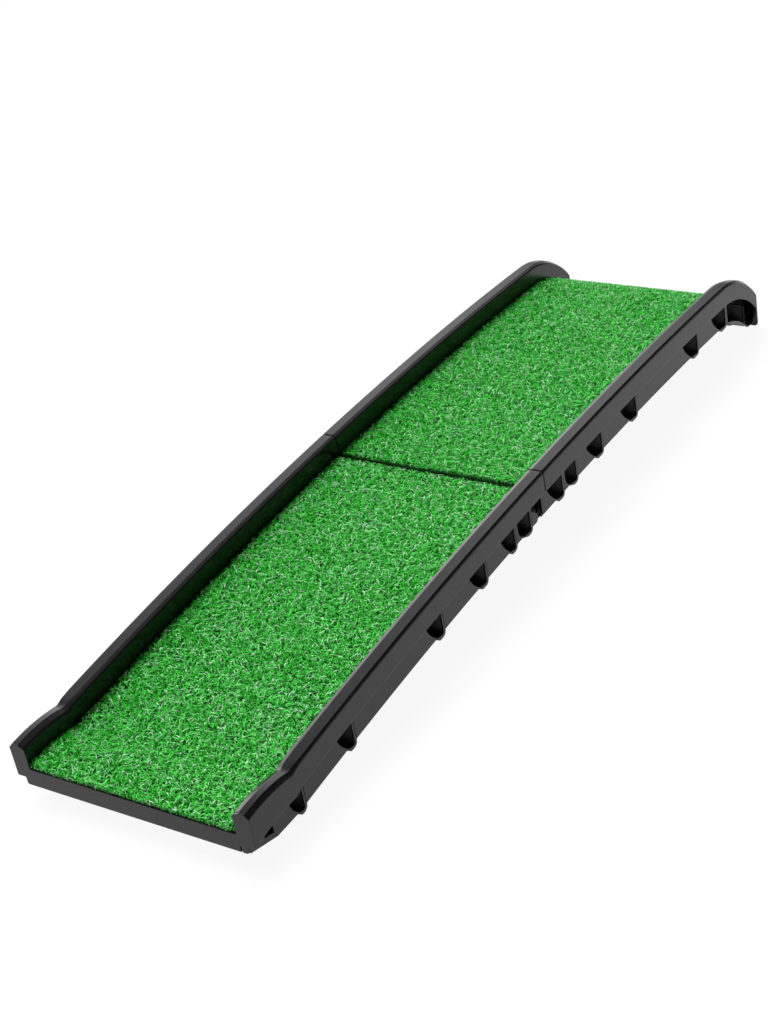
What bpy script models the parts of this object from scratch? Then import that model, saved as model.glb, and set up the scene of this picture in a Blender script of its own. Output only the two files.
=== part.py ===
"""Bi-fold pet ramp with turf treads, unfolded and lying on a level floor.

The ground end is at -Y, the hook end at +Y, +X is the right side for someone walking up, and +Z is up.
Every plastic shape is a side outline in the YZ plane, extruded along X. Sizes are in metres.
"""

import math

import bmesh
import bpy
from mathutils import Matrix, Vector

# Overall sizes
LENGTH = 1.556
WIDTH = 0.405
SEAM_FROM_GROUND_END = 0.775
BODY_DEPTH = 0.083

# Crown line, which is the top of the rails seen from the side
TOE_LENGTH = 0.095
TOE_STEP = 0.011
TOE_BULGE = 0.0045
TOE_BELOW_RISE = 0.0005
KINK_BELOW_RISE = 0.0033
ARCH_ABOVE_RISE = 0.0534
ARCH_TOP_FROM_HOOK_END = 0.506
ARCH_POWER = 2.15
HOOK_START_BELOW_ARCH = 0.00992
HOOK_LENGTH = 0.129
HOOK_DROP = 0.0686

# Rails
RAIL_WIDTH = 0.027
RAIL_WALL = 0.0030
RAIL_SHOULDER = (0.007, 0.004)
BAND_DEPTH = 0.036
TOE_BAND_DEPTH = 0.054
BAND_FADE = 0.120

# Deck, skirts and end walls
DECK_DEPTH = 0.042
TOE_DECK_DEPTH = 0.0375
DECK_FADE_START = 0.060
DECK_FADE_END = 0.150
DECK_WALL = 0.0030
SKIRT_RECESS = 0.014
SKIRT_WALL = 0.0030
END_WALL = 0.0042
END_TAB_RECESS = 0.008
END_TAB_DEPTH = 0.074
NOSE_DEPTH = 0.066
TAPER_LENGTH = 0.058
SOLE_WALL = 0.0032
SEAM_GAP = 0.0003

# Troughs moulded across the underside, as distance from the seam and width, both in shares of the stretch
# they fill, and whether the wall on the -Y side leans
LOWER_TROUGHS = (
    (0.063, 0.0568, False),
    (0.126, 0.0594, True),
    (0.244, 0.0671, True),
    (0.403, 0.0619, True),
    (0.708, 0.0568, True),
)
UPPER_TROUGHS = (
    (0.0721, 0.0779, True),
    (0.1465, 0.0606, False),
    (0.2615, 0.0837, True),
    (0.4361, 0.0866, True),
    (0.7754, 0.0895, True),
    (0.9410, 0.0895, True),
)
REST_TROUGH_WIDTH = 0.038
TROUGH_DROP = 0.0075
TROUGH_WALL = 0.0026
TROUGH_ROUNDING = 0.009

# Leaning wall of a trough, as (share of its width, depth below the crown), and its inward direction
TROUGH_LEAN = ((0.0, 0.0525), (0.13, 0.0653), (0.27, 0.0745), (0.44, BODY_DEPTH), (0.55, 0.0872))
TROUGH_FLAT_START = 0.64
LEAN_INWARD = (0.75, 0.66)

# Boxes at the two ends, with a window in each skirt
TOE_WINDOW = (0.034, 0.053)
HOOK_RIBS_FROM_END = (0.088, 0.029)
RIB_WALL = 0.0032
SEAM_LUG_LENGTH = 0.018
SEAM_LUG_DEPTHS = (0.056, 0.070)

# Fold hinge
HINGE_BELOW_BODY = 0.0095
KNUCKLE_RADIUS = 0.0080
KNUCKLE_WIDTH = 0.022
KNUCKLE_GAP = 0.0004
KNUCKLE_CENTRE_X = 0.118
KNUCKLE_ARM_WIDTH = 0.017
KNUCKLE_ARM_HEIGHT = 0.040
PIN_RADIUS = 0.0030
PIN_CLEARANCE = 0.0003
PIN_HEAD_RADIUS = 0.0058
PIN_HEAD = 0.0024
RETAINER_RADIUS = 0.0062
RETAINER_THICKNESS = 0.0015
FOLD_ANGLE = math.radians(173.0)
SEAT_GAP = 0.0003

# Turf mats
MAT_THICKNESS = 0.0090
MAT_SIDE_GAP = 0.0010
MAT_FROM_NOSE = 0.004
MAT_FROM_SEAM = 0.0062
MAT_FROM_HOOK_END = 0.024

# Rubber feet
FOOT_THICKNESS = 0.0020
FOOT_LENGTH = 0.060
REST_FOOT_WIDTH = 0.009
REST_FOOT_SHIFT = 0.009
HOOK_FOOT_WIDTH = 0.012
GROUND_FOOT_WIDTH = 0.026
GROUND_FOOT_THICKNESS = 0.0025
FOOT_CENTRE_X = 0.125

# Fold latch on the left skirt of the lower half, and its keeper stud on the upper half
LATCH_FROM_HOOK_END = 0.306
LATCH_DEPTH = 0.062
LATCH_WIDTH = 0.016
LATCH_TIP_WIDTH = 0.022
LATCH_THICKNESS = 0.0045
LATCH_SCREW_RADIUS = 0.0032
LATCH_SCREW_HEAD_RADIUS = 0.0062
LATCH_SCREW_HEAD = 0.0020
LATCH_WASHER_RADIUS = 0.0070
LATCH_WASHER_THICKNESS = 0.0012
STUD_RADIUS = 0.0042
STUD_HEAD_RADIUS = 0.0066
STUD_HEAD = 0.0018
STUD_CLEARANCE = 0.0006
BOSS_RADIUS = 0.0080
BOSS_LENGTH = 0.012
NUT_RADIUS = 0.0062
NUT_THICKNESS = 0.0042
THREAD_PAST_NUT = 0.0010

# How finely the side outlines are cut
STATION_STEP = 0.026
HOOK_STATION_STEP = 0.011
ARC_POINTS = 4
ROUND_STEPS = 24
STRAIGHT = 0.00002
TINY = 1e-6
SKIN = 0.0002

GROUND_Y = -LENGTH / 2
HOOK_Y = LENGTH / 2
SEAM_Y = GROUND_Y + SEAM_FROM_GROUND_END
RISE_Y = GROUND_Y + TOE_LENGTH + TOE_STEP
RISE_HEIGHT = FOOT_THICKNESS + TROUGH_DROP + BODY_DEPTH
RAIL_INNER_X = WIDTH / 2 - RAIL_WIDTH
SKIRT_X = WIDTH / 2 - SKIRT_RECESS
TRAY_X = SKIRT_X - SKIRT_WALL / 5
SIDE_VIEW = Matrix(((0, 0, 1, 0), (1, 0, 0, 0), (0, 1, 0, 0), (0, 0, 0, 1)))

PLASTIC = ("ramp_plastic", (0.046, 0.046, 0.045), 0.42, 0.0)
TURF = ("green_turf", (0.045, 0.300, 0.045), 0.85, 0.0)
STEEL = ("zinc_plated_steel", (0.55, 0.55, 0.56), 0.32, 1.0)
RUBBER = ("black_rubber", (0.018, 0.018, 0.018), 0.75, 0.0)
LATCH_PLASTIC = ("latch_plastic", (0.030, 0.030, 0.031), 0.40, 0.0)


def ease(value, start, end):
    """Share from 0 to 1, smooth at both ends."""
    share = min(max((value - start) / (end - start), 0.0), 1.0)
    return share * share * (3 - 2 * share)


def crown(y):
    """Height of the rail top: a bulged toe, a step, a long arch and the hook."""
    from_ground = y - GROUND_Y
    from_hook = HOOK_Y - y
    rise_start = TOE_LENGTH + TOE_STEP
    arch_height = RISE_HEIGHT + ARCH_ABOVE_RISE
    if from_ground < TOE_LENGTH:
        share = max(from_ground, 0.0) / TOE_LENGTH
        straight = TOE_BELOW_RISE + (KINK_BELOW_RISE - TOE_BELOW_RISE) * share
        return RISE_HEIGHT - straight + TOE_BULGE * 4 * share * (1 - share)
    if from_ground < rise_start:
        return RISE_HEIGHT - KINK_BELOW_RISE * (rise_start - from_ground) / TOE_STEP
    if from_hook > ARCH_TOP_FROM_HOOK_END:
        share = (from_hook - ARCH_TOP_FROM_HOOK_END) / (LENGTH - ARCH_TOP_FROM_HOOK_END - rise_start)
        return arch_height - ARCH_ABOVE_RISE * share**ARCH_POWER
    if from_hook > HOOK_LENGTH:
        share = (ARCH_TOP_FROM_HOOK_END - from_hook) / (ARCH_TOP_FROM_HOOK_END - HOOK_LENGTH)
        return arch_height - HOOK_START_BELOW_ARCH * share**2
    return hook_crown(HOOK_LENGTH - from_hook)


def hook_crown(run):
    """Height along the hook, an arc that starts in line with the arch and ends at its full drop."""
    start_slope = 2 * HOOK_START_BELOW_ARCH / (ARCH_TOP_FROM_HOOK_END - HOOK_LENGTH)
    start = math.atan(start_slope)
    end = 2 * math.atan(HOOK_DROP / HOOK_LENGTH) - start
    radius = HOOK_LENGTH / (math.sin(end) - math.sin(start))
    sine = math.sin(start) + min(run, HOOK_LENGTH) / radius
    hook_start = RISE_HEIGHT + ARCH_ABOVE_RISE - HOOK_START_BELOW_ARCH
    return hook_start - radius * (math.cos(start) - math.sqrt(1 - sine * sine))


def deck(y):
    """Height of the deck that carries the turf."""
    fade = ease(y - GROUND_Y, DECK_FADE_START, DECK_FADE_END)
    return crown(y) - TOE_DECK_DEPTH - (DECK_DEPTH - TOE_DECK_DEPTH) * fade


def deck_middle(y):
    """Height inside the deck's wall, where other walls end in it."""
    return deck(y) - DECK_WALL / 2


def band(y):
    """Height of the lower edge of a rail's outer band."""
    share = min((y - GROUND_Y) / BAND_FADE, 1.0)
    return crown(y) - TOE_BAND_DEPTH - (BAND_DEPTH - TOE_BAND_DEPTH) * share


def belly(y):
    """Height of the lower edge of the skirts: a taper at the toe and a flat sole under the hook."""
    from_ground = y - GROUND_Y
    level = RISE_HEIGHT - BODY_DEPTH
    if y < RISE_Y:
        nose = crown(GROUND_Y) - NOSE_DEPTH
        share = min(from_ground / TAPER_LENGTH, 1.0)
        return nose + (level - nose) * share
    return max(crown(y) - BODY_DEPTH, FOOT_THICKNESS)


def stations(start, end):
    """Places along Y where a side outline has its points."""
    marks = {start, end}
    for mark in (GROUND_Y + TAPER_LENGTH, GROUND_Y + TOE_LENGTH, RISE_Y, HOOK_Y - HOOK_LENGTH):
        if start + TINY < mark < end - TINY:
            marks.add(mark)
    marks = sorted(marks)
    places = []
    for first, second in zip(marks, marks[1:]):
        step = HOOK_STATION_STEP if first >= HOOK_Y - HOOK_LENGTH - TINY else STATION_STEP
        step = min(step, TAPER_LENGTH / 5) if second <= RISE_Y + TINY else step
        count = max(1, math.ceil((second - first) / step - TINY))
        places += [first + (second - first) * index / count for index in range(count)]
    return places + [end]


def strip(top, bottom, start, end):
    """Outline between two height lines."""
    places = stations(start, end)
    return [(y, top(y)) for y in places] + [(y, bottom(y)) for y in reversed(places)]


def lowered(line, depth):
    """The same height line, lower by a fixed depth."""
    return lambda y: line(y) - depth


def circle(centre, radius, steps=ROUND_STEPS):
    """Points of a circle in the YZ plane."""
    turns = [2 * math.pi * index / steps for index in range(steps)]
    return [(centre[0] + radius * math.cos(turn), centre[1] + radius * math.sin(turn)) for turn in turns]


def arc(centre, radius, first_degrees, last_degrees, points):
    """Points along an arc in the YZ plane, both ends included."""
    first, last = math.radians(first_degrees), math.radians(last_degrees)
    turns = [first + (last - first) * index / (points - 1) for index in range(points)]
    return [(centre[0] + radius * math.cos(turn), centre[1] + radius * math.sin(turn)) for turn in turns]


def new_collection(name):
    collection = bpy.data.collections.new(name)
    bpy.context.scene.collection.children.link(collection)
    return collection


def material(spec):
    """Principled material from a (name, colour, roughness, metallic) row."""
    name, colour, roughness, metallic = spec
    made = bpy.data.materials.get(name)
    if made is None:
        made = bpy.data.materials.new(name)
        made.use_nodes = True
        shader = made.node_tree.nodes["Principled BSDF"]
        shader.inputs["Base Color"].default_value = (*colour, 1.0)
        shader.inputs["Roughness"].default_value = roughness
        shader.inputs["Metallic"].default_value = metallic
    return made


def evaluated_mesh(thing):
    """Mesh of an object with its curve settings and modifiers applied."""
    bpy.context.view_layer.update()
    graph = bpy.context.evaluated_depsgraph_get()
    return bpy.data.meshes.new_from_object(thing.evaluated_get(graph), depsgraph=graph)


def place(name, mesh, collection, matrix=None):
    """Object of a mesh in a collection."""
    thing = bpy.data.objects.new(name, mesh)
    collection.objects.link(thing)
    if matrix is not None:
        thing.matrix_world = matrix
    return thing


def without_straight_points(outline):
    """Outline without the points that lie on a straight line between their neighbours."""
    kept = []
    for index, point in enumerate(outline):
        before = Vector(kept[-1] if kept else outline[-1])
        along = Vector(outline[(index + 1) % len(outline)]) - before
        offset = Vector(point) - before
        if abs(along.x * offset.y - along.y * offset.x) > STRAIGHT * along.length:
            kept.append(point)
    return kept


def prism(name, outlines, left, right):
    """Solid of side outlines, holes included, extruded from one X to another."""
    curve = bpy.data.curves.new(name + "_outline", "CURVE")
    curve.dimensions = "2D"
    curve.fill_mode = "BOTH"
    curve.extrude = (right - left) / 2
    for outline in map(without_straight_points, outlines):
        spline = curve.splines.new("POLY")
        spline.points.add(len(outline) - 1)
        spline.use_cyclic_u = True
        for point, (y, z) in zip(spline.points, outline):
            point.co = (y, z, 0, 1)
    drawn = place(name + "_curve", curve, guides)
    drawn.matrix_world = Matrix.Translation(((left + right) / 2, 0, 0)) @ SIDE_VIEW
    mesh = evaluated_mesh(drawn)
    cage = bmesh.new()
    cage.from_mesh(mesh)
    bmesh.ops.remove_doubles(cage, verts=cage.verts, dist=TINY)
    cage.transform(drawn.matrix_world)
    cage.to_mesh(mesh)
    cage.free()
    bpy.data.objects.remove(drawn)
    bpy.data.curves.remove(curve)
    mesh.name = name
    return place(name, mesh, guides)


def triangulated(thing):
    """Cut an object's faces into triangles, so that every face is flat."""
    cage = bmesh.new()
    cage.from_mesh(thing.data)
    bmesh.ops.triangulate(cage, faces=cage.faces)
    cage.to_mesh(thing.data)
    cage.free()


def combine(target, others, operation):
    """Apply one exact Boolean with all the other solids, and remove those solids."""
    operands = new_collection("operands")
    triangulated(target)
    for other in others:
        triangulated(other)
        operands.objects.link(other)
    modifier = target.modifiers.new("combine", "BOOLEAN")
    modifier.operation = operation
    modifier.operand_type = "COLLECTION"
    modifier.collection = operands
    mesh = evaluated_mesh(target)
    target.modifiers.clear()
    target.data = mesh
    for other in others:
        bpy.data.objects.remove(other)
    bpy.data.collections.remove(operands)


def finish(thing, spec, collection, smooth_angle=None):
    """Move a piece to the model's collection with its material and shading."""
    for owner in list(thing.users_collection):
        owner.objects.unlink(thing)
    collection.objects.link(thing)
    thing.data.materials.clear()
    thing.data.materials.append(material(spec))
    if smooth_angle is not None:
        thing.data.shade_smooth()
        thing.data.set_sharp_from_angle(angle=math.radians(smooth_angle))
    return thing


def rail_section(y, inner, outer):
    """Open cross-section of a rail: from the deck up its inner wall, over the top and down its outer side."""
    shoulder, drop = RAIL_SHOULDER
    half = [(0, crown(y) - drop), (shoulder * 0.3, crown(y) - drop * 0.3), (shoulder, crown(y))]
    inward = math.copysign(1, outer - inner)
    points = [(inner, y, deck_middle(y))]
    points += [(inner + inward * across, y, z) for across, z in half]
    points += [(outer - inward * across, y, z) for across, z in reversed(half)]
    return points + [(outer, y, band(y))]


def rail(name, side, start, end):
    """One hollow rail, closed at both ends, open below, with a wall of even thickness."""
    rows = [rail_section(y, side * RAIL_INNER_X, side * WIDTH / 2) for y in stations(start, end)]
    count = len(rows[0])
    faces = [tuple(reversed(range(count))), tuple(range((len(rows) - 1) * count, len(rows) * count))]
    for row in range(len(rows) - 1):
        for index in range(count - 1):
            first = row * count + index
            faces.append((first, first + 1, first + count + 1, first + count))
    if side < 0:
        faces = [tuple(reversed(face)) for face in faces]
    mesh = bpy.data.meshes.new(name)
    mesh.from_pydata([point for points in rows for point in points], [], faces)
    shell = place(name, mesh, guides)
    wall = shell.modifiers.new("wall", "SOLIDIFY")
    wall.thickness = RAIL_WALL
    wall.offset = -1
    wall.use_even_offset = True
    mesh = evaluated_mesh(shell)
    shell.modifiers.clear()
    shell.data = mesh
    return shell


def trough_places(troughs, stretch):
    """Centre, width and lean of each trough; a stretch on the -Y side of the seam is negative."""
    return [(SEAM_Y + share * stretch, width * abs(stretch), leans) for share, width, leans in troughs]


def leaning_wall(centre, width, offset):
    """Points down the leaning wall of a trough, moved inward by an offset."""
    across, up = (offset * part for part in LEAN_INWARD)
    places = [(centre + (share - 0.5) * width, depth) for share, depth in TROUGH_LEAN]
    return [(y + across, crown(y) - depth + up) for y, depth in places]


def trough_outline(centre, width, leans, offset, top):
    """Outline of a trough from its +Y side to its -Y side, shrunk inward by an offset."""
    half = width / 2 - offset
    rounding = TROUGH_ROUNDING - offset
    bottom = crown(centre) - BODY_DEPTH - TROUGH_DROP + offset
    points = [(centre + half, top(centre + half))]
    points += arc((centre + half - rounding, bottom + rounding), rounding, 0, -90, ARC_POINTS)
    if leans:
        points.append((centre + (TROUGH_FLAT_START - 0.5) * width, bottom))
        points += reversed(leaning_wall(centre, width, offset))
    else:
        points += arc((centre - half + rounding, bottom + rounding), rounding, -90, -180, ARC_POINTS)
    points.append((centre - half, top(centre - half)))
    return points


def ceiling(y):
    """Height of the deck's underside."""
    return deck(y) - DECK_WALL


def underside(start, end, troughs):
    """Points along the deck's underside and round its troughs, from +Y to -Y."""
    points = []
    right = end
    for centre, width, leans in sorted(troughs, reverse=True):
        points += [(y, ceiling(y)) for y in reversed(stations(centre + width / 2, right))][:-1]
        points += trough_outline(centre, width, leans, 0.0, ceiling)
        right = centre - width / 2
    points += [(y, ceiling(y)) for y in reversed(stations(start, right))][1:]
    return points


def trough_hollows(troughs):
    """Outlines of the hollows inside the troughs."""
    return [trough_outline(*trough, TROUGH_WALL, ceiling) for trough in troughs]


def box_hollow(start, end):
    """Outline of a hollow between the deck and the sole of an end box."""
    return strip(ceiling, lambda y: belly(y) + SOLE_WALL, start, end)


def end_wall_foot():
    """Height of the lower edge of the two walls that meet at the seam."""
    return crown(SEAM_Y) - BODY_DEPTH + SKIN


def lower_tray_outlines(start, end):
    """Deck, nose, sole, troughs and seam wall of the lower half as one outline with hollows."""
    toe_wall = GROUND_Y + TAPER_LENGTH + RIB_WALL
    outline = [(y, deck(y)) for y in stations(start, end)]
    outline += [(end, end_wall_foot()), (end - END_WALL, end_wall_foot())]
    outline += underside(toe_wall, end - END_WALL, LOWER_TROUGH_PLACES)
    outline += [(y, belly(y)) for y in reversed(stations(start, toe_wall))]
    toe_hollow = box_hollow(start + END_WALL, toe_wall - RIB_WALL)
    return [outline, toe_hollow] + trough_hollows(LOWER_TROUGH_PLACES)


def upper_tray_outlines(start, end):
    """Deck, troughs, hook ribs, sole and both end walls of the upper half as one outline with hollows."""
    rib, inner_rib = (HOOK_Y - distance for distance in HOOK_RIBS_FROM_END)
    outline = [(y, deck(y)) for y in stations(start, end)]
    outline += [(y, belly(y)) for y in reversed(stations(rib, end))]
    outline += underside(start + END_WALL, rib, UPPER_TROUGH_PLACES)
    outline += [(start + END_WALL, end_wall_foot()), (start, end_wall_foot())]
    pockets = [box_hollow(rib + RIB_WALL, inner_rib), box_hollow(inner_rib + RIB_WALL, end - END_WALL)]
    return [outline] + pockets + trough_hollows(UPPER_TROUGH_PLACES)


def window(start, end):
    """Opening in a skirt that shows the hollow of an end box."""
    inset = SOLE_WALL + SKIN
    return strip(lowered(ceiling, SKIN), lambda y: belly(y) + inset, start, end)


def seam_lug():
    """Low lug that ends the lower half's skirt short of the seam, with an open pocket above it."""
    start = LOWER_TROUGH_PLACES[0][0] + LOWER_TROUGH_PLACES[0][1] / 2 - TROUGH_WALL / 2
    end = start + SEAM_LUG_LENGTH
    foot = crown(start) - BODY_DEPTH - SKIN
    rounding = SEAM_LUG_LENGTH / 3
    points = [(start, crown(start) - SEAM_LUG_DEPTHS[0]), (end, crown(end) - SEAM_LUG_DEPTHS[1])]
    points += arc((end - rounding, foot + rounding), rounding, 0, -90, ARC_POINTS)
    points.append((start, foot))
    return points


def skirt_up_to(trough, start):
    """Outline of the skirt from a start to a trough, whose wall it follows."""
    centre, width, leans = trough
    end = centre - width / 2 + TROUGH_WALL / 2
    if not leans:
        return strip(deck_middle, lowered(belly, SKIN), start, end)
    wall = leaning_wall(centre, width, TROUGH_WALL / 2)[:-1]
    points = [(y, deck_middle(y)) for y in stations(start, end)] + wall
    return points + [(y, belly(y) - SKIN) for y in reversed(stations(start, wall[-1][0]))]


def skirt_outlines(start, end, troughs, windows):
    """Skirt pieces up to each trough and, if there is an end, past the last one; then the windows."""
    outlines = []
    for trough in sorted(troughs):
        outlines.append(skirt_up_to(trough, start))
        start = trough[0] + trough[1] / 2 - TROUGH_WALL / 2
    if end is not None:
        outlines.append(strip(deck_middle, lowered(belly, SKIN), start, end))
    return outlines + windows


def both_sides(name, outlines, inner, outer):
    """The same outlines extruded on the left and on the right."""
    return [
        prism(name + "_right", outlines, inner, outer),
        prism(name + "_left", outlines, -outer, -inner),
    ]


def knuckle(name, side, centre_x):
    """Hinge knuckle on an arm from a half's seam wall; side is -1 on the lower half and 1 on the upper."""
    inset = SEAM_GAP / 2 + 2 * SKIN
    points = [(-inset, KNUCKLE_ARM_HEIGHT), (-inset, KNUCKLE_RADIUS)]
    points += arc((0, 0), KNUCKLE_RADIUS, 90, -180, 10)
    points += [(-KNUCKLE_ARM_WIDTH, KNUCKLE_RADIUS * 2), (-END_WALL, KNUCKLE_ARM_HEIGHT)]
    outline = [(SEAM_Y - side * y, HINGE_HEIGHT + z) for y, z in points]
    bore = circle((SEAM_Y, HINGE_HEIGHT), PIN_RADIUS + PIN_CLEARANCE)
    return prism(name, [outline, bore], centre_x - KNUCKLE_WIDTH / 2, centre_x + KNUCKLE_WIDTH / 2)


def latch_boss(centre):
    """Boss behind the left skirt that holds a screw."""
    return prism("boss", [circle(centre, BOSS_RADIUS)], -SKIRT_X + SKIN, -SKIRT_X + SKIRT_WALL + BOSS_LENGTH)


def latch_boss_hole(centre):
    """Cutter of the screw's hole through the boss and the skirt."""
    return prism("boss_hole", [circle(centre, SCREW_HOLE)], -SKIRT_X - SKIRT_WALL, -SKIRT_X + 2 * BOSS_LENGTH)


def nut_room(centre):
    """Cutter of the free space around a nut, for a boss that stands close to a trough."""
    start = -SKIRT_X + SKIRT_WALL + BOSS_LENGTH
    end = start + NUT_THICKNESS + THREAD_PAST_NUT + 4 * SEAT_GAP
    return prism("nut_room", [circle(centre, NUT_RADIUS + 2 * SEAT_GAP)], start + SKIN, end)


def lower_panel():
    """Moulded lower half."""
    start, end = GROUND_Y, SEAM_Y - SEAM_GAP / 2
    panel = prism("lower_panel", lower_tray_outlines(start + SKIN, end - SKIN), -TRAY_X, TRAY_X)
    toe_window = window(GROUND_Y + TOE_WINDOW[0], GROUND_Y + TOE_WINDOW[1])
    skirts = skirt_outlines(start + END_WALL / 2, None, LOWER_TROUGH_PLACES, [seam_lug(), toe_window])
    pieces = both_sides("lower_skirt", skirts, SKIRT_X - SKIRT_WALL, SKIRT_X)
    tab = strip(lowered(crown, RAIL_WIDTH), lowered(crown, END_TAB_DEPTH), end - END_WALL, end - 2 * SKIN)
    pieces += both_sides("lower_tab", [tab], SKIRT_X - 2 * SKIRT_WALL, WIDTH / 2 - END_TAB_RECESS)
    pieces += [rail("lower_rail_right", 1, start, end), rail("lower_rail_left", -1, start, end)]
    step = KNUCKLE_WIDTH + KNUCKLE_GAP
    for side in (-1, 1):
        for shift in (-step, step):
            pieces.append(knuckle("lower_knuckle", -1, side * KNUCKLE_CENTRE_X + shift))
    pieces.append(latch_boss(LATCH_PIVOT))
    combine(panel, pieces, "UNION")
    combine(panel, [latch_boss_hole(LATCH_PIVOT), nut_room(LATCH_PIVOT)], "DIFFERENCE")
    return finish(panel, PLASTIC, model, 30)


def upper_panel():
    """Moulded upper half with the hook."""
    start, end = SEAM_Y + SEAM_GAP / 2, HOOK_Y
    panel = prism("upper_panel", upper_tray_outlines(start + SKIN, end - SKIN), -TRAY_X, TRAY_X)
    rib, inner_rib = (HOOK_Y - distance for distance in HOOK_RIBS_FROM_END)
    windows = [window(rib + RIB_WALL + SKIN, inner_rib - SKIN)]
    windows.append(window(inner_rib + RIB_WALL + SKIN, end - END_WALL - SKIN))
    skirts = skirt_outlines(start + END_WALL / 2, end - END_WALL / 2, UPPER_TROUGH_PLACES, windows)
    pieces = both_sides("upper_skirt", skirts, SKIRT_X - SKIRT_WALL, SKIRT_X)
    tab = strip(lowered(crown, RAIL_WIDTH), lowered(crown, END_TAB_DEPTH), start + 2 * SKIN, start + END_WALL)
    pieces += both_sides("upper_tab", [tab], SKIRT_X - 2 * SKIRT_WALL, WIDTH / 2 - END_TAB_RECESS)
    plate = strip(lowered(crown, RAIL_WIDTH), lowered(belly, -SKIN), end - END_WALL + SKIN, end - 2 * SKIN)
    pieces += both_sides("hook_plate", [plate], SKIRT_X - 2 * SKIRT_WALL, WIDTH / 2 - SKIN)
    pieces += [rail("upper_rail_right", 1, start, end), rail("upper_rail_left", -1, start, end)]
    for side in (-1, 1):
        pieces.append(knuckle("upper_knuckle", 1, side * KNUCKLE_CENTRE_X))
    pieces.append(latch_boss(KEEPER))
    combine(panel, pieces, "UNION")
    combine(panel, [latch_boss_hole(KEEPER), nut_room(KEEPER)], "DIFFERENCE")
    return finish(panel, PLASTIC, model, 30)


def mat(name, start, end):
    """Turf mat that lies on the deck between the rails."""
    half = RAIL_INNER_X - MAT_SIDE_GAP
    outline = strip(lowered(deck, -MAT_THICKNESS), lowered(deck, -SEAT_GAP), start, end)
    return finish(prism(name, [outline], -half, half), TURF, model)


def turned(name, profile, closed, origin, spec):
    """Turned piece along X; the profile is (radius, distance toward +X) from the +X end down."""
    points = [(radius, 0, along) for radius, along in profile]
    edges = [(index, index + 1) for index in range(len(points) - 1)]
    if closed:
        edges.append((len(points) - 1, 0))
    mesh = bpy.data.meshes.new(name)
    mesh.from_pydata(points, edges, [])
    thing = place(name, mesh, guides, Matrix.Translation(origin) @ SIDE_VIEW)
    screw = thing.modifiers.new("turn", "SCREW")
    screw.steps = ROUND_STEPS
    screw.render_steps = ROUND_STEPS
    screw.use_merge_vertices = True
    screw.merge_threshold = 0.00005
    return finish(thing, spec, model)


def mirrored(profile, side):
    """Profile turned end for end on the left side, still listed from its +X end down."""
    if side > 0:
        return profile
    return [(radius, -along) for radius, along in reversed(profile)]


def hinge_pin(label, side):
    """Headed pin through three knuckles, with its head outward, and the ring that retains it."""
    group = 1.5 * KNUCKLE_WIDTH + KNUCKLE_GAP
    seat = group + SEAT_GAP
    tip = -seat - 2 * RETAINER_THICKNESS
    profile = [(0, seat + PIN_HEAD), (PIN_HEAD_RADIUS * 0.8, seat + PIN_HEAD)]
    profile += [(PIN_HEAD_RADIUS, seat + PIN_HEAD * 0.6), (PIN_HEAD_RADIUS, seat), (PIN_RADIUS, seat)]
    profile += [(PIN_RADIUS, tip + PIN_RADIUS / 5), (PIN_RADIUS * 0.8, tip), (0, tip)]
    origin = Vector((side * KNUCKLE_CENTRE_X, SEAM_Y, HINGE_HEIGHT))
    turned("hinge_pin_" + label, mirrored(profile, side), False, origin, STEEL)
    bore = PIN_RADIUS + PIN_CLEARANCE
    near, far = -seat, -seat - RETAINER_THICKNESS
    ring = [(bore, near), (RETAINER_RADIUS, near), (RETAINER_RADIUS, far), (bore, far)]
    turned("pin_retainer_" + label, mirrored(ring, side), True, origin, STEEL)


def pad(name, centre, size, tilt=0.0):
    """Rubber pad, bevelled all round, tilted about X."""
    cage = bmesh.new()
    bmesh.ops.create_cube(cage, size=1.0)
    bmesh.ops.scale(cage, vec=size, verts=cage.verts)
    upright = [edge for edge in cage.edges if abs(edge.verts[0].co.z - edge.verts[1].co.z) > TINY]
    rounding = min(size[0], size[1]) * 0.3
    bmesh.ops.bevel(cage, geom=upright, offset=rounding, segments=3, affect="EDGES", profile=0.5)
    mesh = bpy.data.meshes.new(name)
    cage.to_mesh(mesh)
    cage.free()
    matrix = Matrix.Translation(centre) @ Matrix.Rotation(tilt, 4, "X")
    return finish(place(name, mesh, guides, matrix), RUBBER, model)


def feet():
    """Rubber feet under the ground end, the rest trough and the hook."""
    height = FOOT_THICKNESS - SEAT_GAP
    taper_rise = belly(GROUND_Y) - belly(GROUND_Y + TAPER_LENGTH)
    tilt = -math.atan(taper_rise / TAPER_LENGTH)
    middle_y = GROUND_Y + TAPER_LENGTH / 2
    below = SEAT_GAP + GROUND_FOOT_THICKNESS / 2
    ground_y = middle_y + below * math.sin(tilt)
    ground_z = (belly(GROUND_Y) + belly(GROUND_Y + TAPER_LENGTH)) / 2 - below * math.cos(tilt)
    hook_flat = HOOK_Y - HOOK_FOOT_WIDTH / 2 - SEAT_GAP
    ground_size = (FOOT_LENGTH, GROUND_FOOT_WIDTH, GROUND_FOOT_THICKNESS)
    for label, side in (("left", -1), ("right", 1)):
        x = side * FOOT_CENTRE_X
        pad("ground_foot_" + label, (x, ground_y, ground_z), ground_size, tilt)
        rest_y = RISE_Y + REST_FOOT_SHIFT
        pad("rest_foot_" + label, (x, rest_y, height / 2), (FOOT_LENGTH, REST_FOOT_WIDTH, height))
        pad("hook_foot_" + label, (x, hook_flat, height / 2), (FOOT_LENGTH, HOOK_FOOT_WIDTH, height))


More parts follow.
